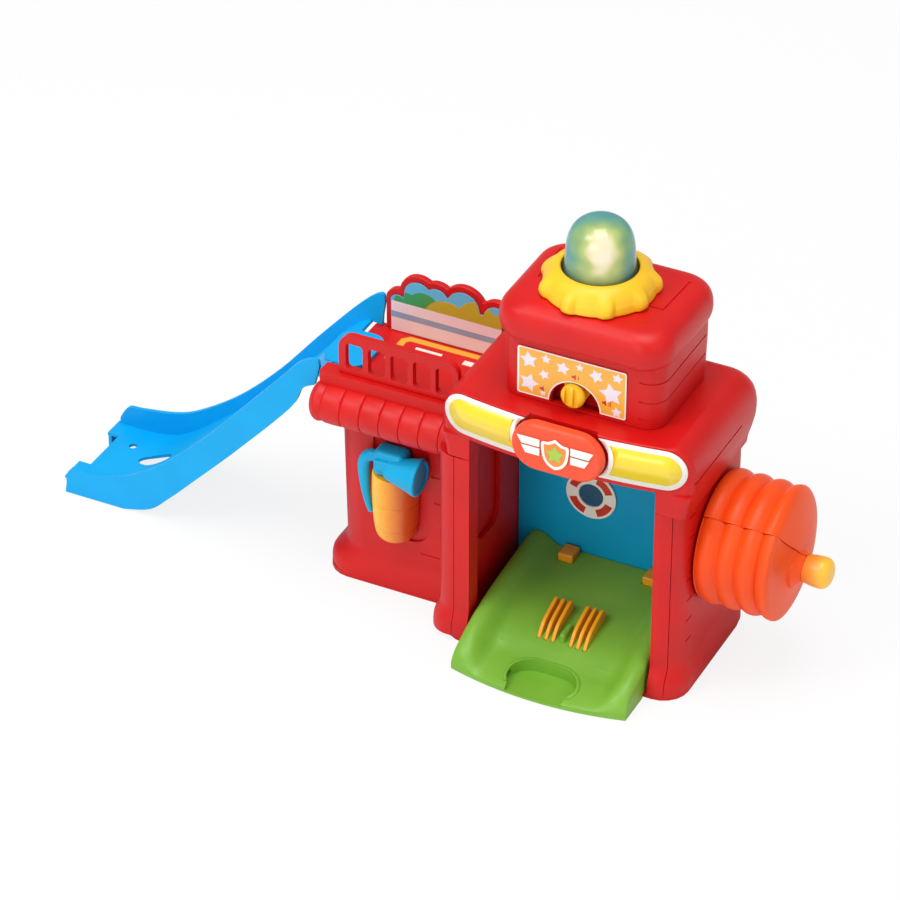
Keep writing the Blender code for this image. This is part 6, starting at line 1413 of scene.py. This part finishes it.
@dataclass
class Ramp(Assembly):
    """Ramp out of the doorway, the comb of ribs under it and the wheel stops."""

    half: float = 48.3
    arc: float = 6.55
    foot_back: float = -44.3
    sections: tuple[Place, ...] = ((-65.0, 2.8, 3.8), (-64.0, 3.3, 7.0), (-62.0, 4.0, 10.0),
                                   (-59.0, 4.9, 12.6), (-54.5, 6.2, 15.2), (-49.0, 7.8, 17.4),
                                   (-44.5, 9.8, 18.8), (-38.0, 12.4, 20.5), (-30.0, 14.8, 22.0),
                                   (-18.0, 17.2, 23.7), (-4.0, 19.0, 25.2), (10.0, 20.4, 26.4),
                                   (27.3, 21.8, 27.8))
    ribs: tuple[float, ...] = (-12.7, -8.8, -4.9, 4.9, 8.8, 12.7)

    def bulge(self, place: Vector) -> Place:
        """Bow the front edge forwards, fading out up the ramp."""
        fade = max(0.0, min(1.0, (-45.0 - place.y) / 20.0))
        return (place.x, place.y - self.arc * (1 - (place.x / self.half) ** 2) * fade, place.z)

    def heights(self) -> list[Place]:
        """Depth, deck height and rail height at close steps from front to back."""
        return smooth_line(self.sections, 4)

    def surface(self, x: float, y: float) -> float:
        """Height of the bowed running surface at a place."""
        start = y
        for _ in range(12):
            start += y - self.bulge(Vector((x, start, 0.0)))[1]
        rows = self.heights()
        for near, far in zip(rows, rows[1:]):
            if near[0] <= start <= far[0]:
                return near[1] + (far[1] - near[1]) * (start - near[0]) / (far[0] - near[0])
        return rows[0][1]

    def cross(self, deck: float, rail: float, bottom: float) -> list[Point]:
        """Cross-section: a flat running surface, a soft bank on each side and a rounded rail on top of it.

        Args:
            deck: Height of the running surface.
            rail: Height of the rails.
            bottom: Height of the underside.

        Returns:
            Pairs of distance across and height: the top from right to left, then the bottom from left to right.
        """
        half, rise = self.half, rail - deck
        drops = ((0.0, 0.40), (0.5, 0.26), (1.5, 0.10), (3.2, 0.02), (5.0, 0.0), (7.0, 0.05), (9.0, 0.18),
                 (11.0, 0.40), (13.0, 0.66), (15.2, 0.88))
        edge = [*((half - inset, rail - share * rise) for inset, share in drops), (half - 18.0, deck)]
        inner = half - 18.0
        middle = [(inner * (1 - i / 8), deck) for i in range(1, 16)]
        top = [*edge, *middle, *((-x, z) for x, z in reversed(edge))]
        return [*top, *((x, bottom) for x, _ in reversed(top))]

    def body(self) -> Piece:
        """Ramp body, drawn as cross-sections that are joined from front to back."""
        rows = []
        for y, deck, rail in self.heights():
            if rows and rows[-1][0] < self.foot_back < y:
                past, last_deck, last_rail, _ = rows[-1]
                share = (self.foot_back - past) / (y - past)
                foot = (last_deck + share * (deck - last_deck), last_rail + share * (rail - last_rail))
                rows += [(self.foot_back - 0.15, *foot, 0.0), (self.foot_back, *foot, 2.8)]
            rows.append((y, deck, rail, 0.0 if y < self.foot_back else 2.8))
        rings = [[Vector((x, y, z)) for x, z in self.cross(deck, max(rail, deck + 0.4), bottom)]
                 for y, deck, rail, bottom in rows]
        count = len(rings[0])
        points = [point * MM for ring_points in rings for point in ring_points]
        faces = []
        for first in (0, len(points) - count):
            faces += [(first + i, first + i + 1, first + count - 2 - i, first + count - 1 - i)
                      for i in range(count // 2 - 1)]
        for row in range(len(rings) - 1):
            for i in range(count):
                j = (i + 1) % count
                faces.append((row * count + j, row * count + i, (row + 1) * count + i, (row + 1) * count + j))
        mesh = bpy.data.meshes.new("ramp_skin")
        mesh.from_pydata(points, [], faces)
        return Piece(link_object("ramp_skin", mesh), "ramp_skin").face_out()

    def build_ramp(self) -> None:
        """Running surface between two rounded rails, with the connector's notch and the slots."""
        ramp = self.body().shape(self.bulge)
        hollow = [(y, deck - 2.2) for y, deck, _ in self.heights() if -45.0 < y < 25.0]
        ramp.cut(Piece.plate("hollow", Plane.SIDE, [[*hollow, (25.0, hollow[-1][1]), (25.0, -OVERRUN),
                                                     (hollow[0][0], -OVERRUN)]], -46.1, 46.1))
        right = [(15.5, -90.0), (15.5, -71.0), (15.7, -68.6), (16.6, -66.2), (17.9, -64.0), (18.5, -61.2),
                 (18.2, -58.2), (16.9, -55.2), (14.6, -52.6), (11.4, -50.7), (7.6, -49.7), (0.0, -49.5)]
        outline = smooth_line(right, 3)[:-1]
        rim = [*outline, (0.0, -49.5), *((-x, y) for x, y in reversed(outline))]
        notch = Piece.plate("notch", Plane.FLOOR, [rim], 1.2, 40.0)
        ridge = [(x * 1.03, y + 0.5, self.surface(x, y) - 0.5) for x, y in rim if y > -67.0]
        ramp.join(Piece.hose("ridge", ridge, [1.5] * len(ridge)))
        ramp.cut(notch, Piece.rod("connector_hole", (-15.0, -59.5, 3.4), (-25.0, -59.5, 3.4), 1.7, steps=24))
        for x in self.ribs:
            ramp.cut(Piece.block("rib_slot", (x - 1.15, -37.6, 2.5), (x + 1.15, -13.5, 60.0)))
        ramp.cut(Piece.block("bar_slot", (-28.3, 16.7, 0.0), (28.3, 40.0, 6.1)))
        for side in (-1, 1):
            low, high = sorted((side * 19.2, side * 28.3))
            ramp.cut(Piece.block("stop_slot", (low, 16.7, 0.0), (high, 40.0, 60.0)))
        guide = Piece.block("guide", (-1.5, -37.0, 12.0), (1.5, -26.0, 18.2))
        ramp.join(guide.soften(1.1, 3))
        ramp.round_edges(0.7, 3, 42.0).smooth().settle(Finish.GREEN, "ramp")

    def build_ribs(self) -> None:
        """Six curved ribs on one plate."""
        plate = Piece.block("rib_insert_skin", (-14.7, -41.5, 2.8), (14.7, -13.8, 5.3))
        top = smooth_line(((-37.3, 12.4), (-36.9, 13.6), (-34.4, 16.6), (-32.0, 18.8), (-29.0, 20.4),
                           (-24.0, 22.1), (-18.0, 23.8), (-15.4, 23.6), (-13.8, 20.0)), 3)
        for number, x in enumerate(self.ribs):
            fin = Piece.plate("rib", Plane.SIDE, [[(-13.8, 4.0), (-37.3, 4.0), *top]], x - 1.0, x + 1.0)
            plate.join(fin)
        plate.round_edges(0.6).smooth().settle(Finish.AMBER, "rib_insert")

    def build_stops(self) -> None:
        """Bar with two rounded wheel stops."""
        outline = [(-28.0, 2.8), (28.0, 2.8), (28.0, 25.2), (19.5, 25.2), (19.5, 5.8), (-19.5, 5.8),
                   (-19.5, 25.2), (-28.0, 25.2)]
        stops = Piece.plate("wheel_stop_skin", Plane.FRONT, [outline], 17.0, 27.0)
        stops.round_edges(1.1, 4).smooth().settle(Finish.AMBER, "wheel_stop")


@dataclass
class Slide(Assembly):
    """Slide from the deck to the ground: a channel with rolled rims, a slotted foot and a hooked tongue."""

    join_x: float = -145.0
    run: float = 156.0
    rise: float = 121.5
    front: float = -18.5
    back: float = 40.0
    wall: float = 2.2
    floor: tuple[Point, ...] = ((1.0, 0.085), (0.865, 0.088), (0.776, 0.105), (0.699, 0.155),
                                (0.622, 0.228), (0.462, 0.402), (0.301, 0.612), (0.147, 0.833),
                                (0.077, 0.936), (0.032, 0.984), (0.0, 1.0))
    under: tuple[Point, ...] = ((0.77, 0.0), (0.667, 0.040), (0.587, 0.131), (0.466, 0.291), (0.308, 0.505),
                                (0.115, 0.785), (0.069, 0.900), (0.022, 0.938))
    near_rim: tuple[Point, ...] = ((0.004, 1.030), (0.014, 1.066), (0.074, 1.033), (0.150, 0.924),
                                   (0.303, 0.702), (0.460, 0.481), (0.620, 0.292), (0.699, 0.221),
                                   (0.779, 0.165), (0.897, 0.122), (0.955, 0.146), (0.987, 0.110))
    far_end: tuple[Point, ...] = ((0.022, 0.986), (-0.040, 0.989))
    far_rim: tuple[Point, ...] = ((-0.042, 1.034), (-0.050, 1.122), (-0.028, 1.141), (0.046, 1.061),
                                  (0.199, 0.843), (0.354, 0.609), (0.513, 0.412), (0.672, 0.271),
                                  (0.772, 0.218), (0.900, 0.190), (0.955, 0.180), (0.987, 0.120))

    def line(self, shares: Sequence[Point]) -> list[Point]:
        """Smooth outline from shares of the run and the rise."""
        return smooth_line([(self.join_x - self.run * u, self.rise * w) for u, w in shares], 5)

    def build_slide(self) -> None:
        """Channel with its walls, tongue, lip and peg, as one moulding."""
        end = self.join_x - self.run
        top = self.line(self.floor)
        bottom = []
        for i, (x, z) in enumerate(top):
            ahead, behind = top[min(i + 1, len(top) - 1)], top[max(i - 1, 0)]
            along = Vector((ahead[0] - behind[0], ahead[1] - behind[1])).normalized()
            bottom.append((x + along.y * 1.7, z - along.x * 1.7))
        slide = Piece.plate("slide_skin", Plane.FRONT, [top + bottom[::-1]], self.front + 0.4, self.back - 0.4)
        near = [(end, 0.0), *self.line(self.under), *self.line(self.near_rim)]
        far = [(end, 0.0), *self.line((*self.under[:-1], *self.far_end)), *self.line(self.far_rim)]
        tongue = rounded_rectangle(-153.0, -129.0, -5.25, 26.75, 8.0)
        slide.join(
            Piece.plate("near_wall", Plane.FRONT, [near], self.front, self.front + self.wall),
            Piece.plate("far_wall", Plane.FRONT, [far], self.back - self.wall, self.back),
            Piece.block("end_wall", (end + 0.3, self.front + 1.1, 0.3),
                        (end + self.wall, self.back - 1.1, 9.5)),
            Piece.plate("tongue", Plane.FLOOR, [tongue], 119.8, 121.5),
            Piece.block("lip", (-145.5, -5.25, 111.5), (-143.3, 26.75, 120.6)),
            Piece.rod("peg", (-136.0, 10.75, 116.7), (-136.0, 10.75, 120.6), 3.0))
        slide.cut(
            Piece.plate("hole", Plane.FLOOR, [ring(-262.0, 10.75, 10.0, 5.0)], -OVERRUN, 100.0),
            Piece.block("end_slot", (end - OVERRUN, -3.0, -OVERRUN), (end + 7.0, 27.0, 100.0)),
            Piece.rod("key_hole", (-282.0, 21.5, -OVERRUN), (-282.0, 21.5, 100.0), 2.2))
        slide.round_edges(0.8, 3, 45.0).smooth().settle(Finish.BLUE, "slide", "slide")


@dataclass
class HoseReel(Assembly):
    """Orange reel of wound hose on the right wall, in two half shells, with a nozzle for a crank."""

    y: float = 5.0
    z: float = 75.0
    start: float = 65.9
    pitch: float = 10.6
    crest: float = 34.6
    dip: float = 3.0
    turn: float = 48.0
    crank: float = 4.7

    def half_shell(self, name: str, shift: float, face: Sequence[Point], side: int) -> None:
        """One half of the wound hose.

        Args:
            name: Node that it stands for.
            shift: How far its turns are moved along the axis.
            face: Radius and place along the axis of the end face, from the middle outwards.
            side: 1 above, -1 below.
        """
        end = self.start + 4 * self.pitch
        last = self.start + shift + 3.5 * self.pitch
        profile = [(0.0, 111.6), *smooth_line([(6.0, 111.5), *face, (self.crest - 0.25, last + 1.0),
                                               (self.crest, last)], 5)]
        count = 56
        for i in range(count - 1, -1, -1):
            x = self.start + (last - self.start) * i / count
            phase = (x - self.start - shift) / self.pitch
            radius = self.crest - self.dip * (1 - abs(math.sin(math.pi * phase)) ** 0.6)
            profile.append((radius, x))
        profile += [(0.0, self.start)]
        shell = Piece.turned(name + "_skin", profile, (0.0, self.y, self.z), (1, 0, 0), 128)
        y, z = self.peg_place()
        root = ((0.0, 113.9), (7.3, 113.9), (7.9, 113.0), (9.2, 111.6), (11.6, 110.0), (11.6, 104.0),
                (0.0, 104.0))
        shell.join(Piece.turned("root", root, (0.0, y, z), (1, 0, 0), 96))
        shell.cut(Piece.rod("hollow", (72.5, self.y, self.z), (101.0, self.y, self.z), 27.8, steps=64),
                  Piece.rod("bore", (40.0, self.y, self.z), (74.0, self.y, self.z), 6.3),
                  Piece.rod("peg_hole", (end, y, z), (130.0, y, z), 4.4))
        low, high = (-70.0, 0.15) if side > 0 else (-0.15, 70.0)
        split = Piece.block("split", (40.0, -70.0, low), (140.0, 70.0, high))
        split.place(Matrix.Translation(Vector((0.0, self.y, self.z)) * MM)
                    @ Matrix.Rotation(math.radians(-self.turn), 4, "X"))
        shell.cut(split)
        shell.round_edges(0.2, 2, 50.0).smooth(42.0).settle(Finish.ORANGE, name, "reel")

    def peg_place(self) -> Point:
        """Depth and height of the nozzle, off the axis like a crank."""
        turn = math.radians(self.turn)
        return self.y - self.crank * math.sin(turn), self.z - self.crank * math.cos(turn)

    def build_shells(self) -> None:
        """Both halves of the wound hose."""
        self.half_shell("reel_upper_half", -1.6, ((12.0, 110.8), (18.0, 109.5), (24.0, 107.8),
                                                  (28.0, 106.5), (31.2, 105.2), (33.2, 103.8)), 1)
        self.half_shell("reel_lower_half", 0.6, ((12.2, 110.2), (16.0, 108.5), (20.0, 107.3), (24.5, 106.5),
                                                 (28.6, 106.0), (31.8, 105.6), (33.6, 105.0)), -1)

    def build_nozzle(self) -> None:
        """Round yellow nozzle, the crank of the reel."""
        nozzle_profile = [(0.0, 127.6), *[(3.4 + 4.8 * math.sin(QUARTER * i / 8),
                                           122.8 + 4.8 * math.cos(QUARTER * i / 8)) for i in range(9)],
                          (8.1, 120.4), (7.8, 117.6), (7.4, 115.4), (7.2, 114.1), (4.1, 114.1), (4.1, 108.7),
                          (0.0, 108.7)]
        nozzle = Piece.turned("reel_nozzle_skin", nozzle_profile, (0.0, *self.peg_place()), (1, 0, 0), 64)
        nozzle.smooth().settle(Finish.NOZZLE, "reel_nozzle", "reel")

    def build_axle(self) -> None:
        """Fixed axle with its flange and its head."""
        axle_profile = ((0.0, 74.8), (8.0, 74.8), (8.5, 74.4), (8.5, 72.8), (6.0, 72.8), (6.0, 65.6),
                        (10.0, 65.6), (10.0, 64.8), (0.0, 64.8))
        axle = Piece.turned("reel_axle_skin", axle_profile, (0.0, self.y, self.z), (1, 0, 0), 48)
        axle.smooth().settle(Finish.RED, "reel_axle")


@dataclass
class Extinguisher(Assembly):
    """Fire extinguisher on the left block: bottle, valve head with its horn, and hose."""

    x: float = -103.0
    y: float = -17.5
    wall: float = -15.0

    def bottle_profile(self, grow: float = 0.0) -> list[Point]:
        """Radius and height down the bottle."""
        line = [(0.0, 75.0), (11.6, 75.0), (12.1, 74.4), (12.3, 72.6), (12.5, 66.0), (12.4, 59.2),
                (12.15, 58.4), (11.85, 58.0), (12.1, 57.6), (12.3, 56.8), (11.9, 48.0), (11.55, 44.3),
                (11.2, 43.5), (10.95, 43.1), (11.1, 42.7), (11.25, 42.0), (10.7, 39.0), (9.9, 36.9),
                (8.6, 35.3), (6.6, 34.3), (3.6, 34.0), (0.0, 34.0)]
        return [(r + grow if r else 0.0, z + (grow if z > 74.0 else 0.0)) for r, z in line]

    def wall_space(self) -> Piece:
        """Everything behind the wall, for cutting."""
        return Piece.block("back", (-130.0, self.wall, 0.0), (-70.0, 20.0, 120.0))

    def build_bottle(self) -> None:
        """Tapered bottle with its bands."""
        place = (self.x, self.y, 0.0)
        bottle = Piece.turned("extinguisher_bottle_skin", self.bottle_profile(), place, steps=72)
        bottle.cut(self.wall_space()).weld().smooth(50.0).settle(Finish.BOTTLE, "extinguisher_bottle")

    def build_head(self) -> None:
        """Valve head with its lever and its hollow horn."""
        head = Piece.block("extinguisher_head_skin", (-112.0, -27.4, 75.3), (-94.5, self.wall, 90.2))
        horn = Piece.rod("horn", (-104.0, -25.6, 81.0), (-84.5, -25.6, 80.6), 5.4, 10.4, 64)
        lever = Piece.block("lever", (-110.0, -29.4, 80.6), (-99.5, -26.0, 86.4))
        mouth = Piece.rod("mouth", (-85.3, -25.6, 80.6), (-80.0, -25.6, 80.6), 7.6, 8.2, 64)
        bottle = Piece.turned("bottle_space", self.bottle_profile(GAP), (self.x, self.y, 0.0))
        head.soften(3.2, 5).join(horn.soften(1.6, 4), lever.soften(1.0, 3)).cut(mouth, bottle,
                                                                                self.wall_space())
        head.round_edges(0.5, 2, 50.0).smooth().settle(Finish.DEEP_BLUE, "extinguisher_head")

    def build_hose(self) -> None:
        """Hose from the head down beside the bottle, thinner towards its end."""
        path = smooth_line(((-111.6, -22.2, 84.0), (-114.4, -22.2, 84.0), (-116.9, -22.2, 82.4),
                            (-118.6, -22.2, 78.8), (-119.0, -22.2, 73.0), (-118.6, -22.2, 66.0),
                            (-117.8, -22.0, 59.0), (-116.6, -21.8, 52.5), (-115.4, -21.6, 48.4)), 4)
        radii = [3.2 - 1.9 * max(0.0, i / (len(path) - 1) - 0.45) / 0.55 for i in range(len(path))]
        Piece.hose("extinguisher_hose_skin", path, radii).smooth().settle(Finish.DEEP_BLUE, "extinguisher_hose")


@dataclass
class Studio(Assembly):
    """Pale floor, soft lights and the camera at the photograph's angle."""

    camera_place: Place = (717.2, -1604.7, 1324.3)
    camera_turn: Place = (55.3, 0.0, 26.45)
    lens: float = 172.0
    lamp_target: Place = (-0.05, 0.0, 0.1)
    lamps: tuple[tuple[str, Place, float, float], ...] = (
        ("key", (-1.1, -1.4, 2.0), 1.0, 22.0), ("front", (-0.2, -1.9, 0.75), 0.8, 7.5),
        ("fill", (1.7, -0.7, 1.1), 1.4, 5.0), ("top", (0.1, -0.2, 2.2), 1.2, 28.0))

    def build_camera(self) -> None:
        """Camera for a square picture."""
        data = bpy.data.cameras.new("camera")
        data.lens = self.lens
        data.sensor_width = 36.0
        data.clip_end = 20.0
        camera = link_object("camera", data)
        camera.location = Vector(self.camera_place) * MM
        camera.rotation_euler = [math.radians(angle) for angle in self.camera_turn]
        bpy.context.scene.camera = camera
        bpy.context.scene.view_settings.view_transform = "Standard"

    def build_world(self) -> None:
        """Soft white surroundings that the camera and clear plastic see as white."""
        world = bpy.data.worlds.new("studio")
        world.use_nodes = True
        tree = world.node_tree
        tree.nodes.clear()
        path = add_node(tree, "LightPath").outputs
        seen = add_node(tree, "Math", {0: path["Is Camera Ray"], 1: path["Is Transmission Ray"]},
                        operation="MAXIMUM")
        strength = add_node(tree, "MapRange", {"Value": seen.outputs[0], "To Min": 0.42, "To Max": 1.0})
        back = add_node(tree, "Background", {"Color": (1, 1, 1, 1), "Strength": strength.outputs["Result"]})
        add_node(tree, "OutputWorld", {"Surface": back.outputs[0]})
        bpy.context.scene.world = world

    def build_floor(self) -> None:
        """Wide white floor that keeps the toy's shadow."""
        bpy.ops.object.select_all(action="DESELECT")
        bpy.ops.mesh.primitive_plane_add(size=8.0, location=(0.0, 0.0, -0.2 * MM))
        floor = bpy.context.object
        floor.name = "studio_floor"
        recipe = Recipe("studio_paper")
        tree = recipe.tree
        paper = add_node(tree, "BsdfDiffuse", {"Color": (0.86, 0.86, 0.86, 1.0)}).outputs[0]
        glow = add_node(tree, "Emission", {"Color": (1, 1, 1, 1), "Strength": 1.0}).outputs[0]
        camera_ray = add_node(tree, "LightPath").outputs["Is Camera Ray"]
        seen = add_node(tree, "Math", {0: camera_ray, 1: 0.84}, operation="MULTIPLY").outputs[0]
        floor.data.materials.append(recipe.close(add_node(tree, "MixShader", {0: seen, 1: paper, 2: glow})))

    def build_lamps(self) -> None:
        """Square soft lamps that look at the toy: name, place and side in metres, and watts."""
        for name, place, size, power in self.lamps:
            data = bpy.data.lights.new(name, "AREA")
            data.size = size
            data.energy = power
            light = link_object(name, data)
            light.location = place
            aim = Vector(self.lamp_target) - Vector(place)
            light.rotation_euler = aim.to_track_quat("-Z", "Y").to_euler()


HIDDEN_PARTS = (("base_plate", Finish.RED), ("base_screw", Finish.STEEL), ("badge_board", Finish.BOARD),
                ("badge_switch", Finish.BLACK), ("volume_board", Finish.RED), ("main_board", Finish.BOARD),
                ("battery_door", Finish.RED), ("battery_tray", Finish.BLACK), ("battery_contact", Finish.STEEL),
                ("battery_1", Finish.STEEL), ("battery_2", Finish.STEEL), ("speaker", Finish.BLACK),
                ("lamp_tray", Finish.WHITE))


def dress_hidden_parts(nodes: dict[str, bpy.types.Object]) -> None:
    """Give the inner solids that stay as they are a finish of their own.

    Args:
        nodes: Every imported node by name.
    """
    for start, finish in HIDDEN_PARTS:
        for name, thing in nodes.items():
            if name.startswith(start):
                finish.dress(thing)


def main(frame: dict) -> None:
    """Build the studio and every sub-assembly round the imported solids.
    """
    logging.basicConfig(level=logging.INFO, format="%(name)s: %(message)s")
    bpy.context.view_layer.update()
    garage = GarageBlock()
    for assembly in (Studio(), garage, RoofAndSign(), Tower(), Beacon(), LeftBlock(garage), Ramp(), Slide(),
                     HoseReel(), Extinguisher()):
        assembly.build()
    dress_hidden_parts(frame["nodes"])


if __name__ == "__main__":
    main(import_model())
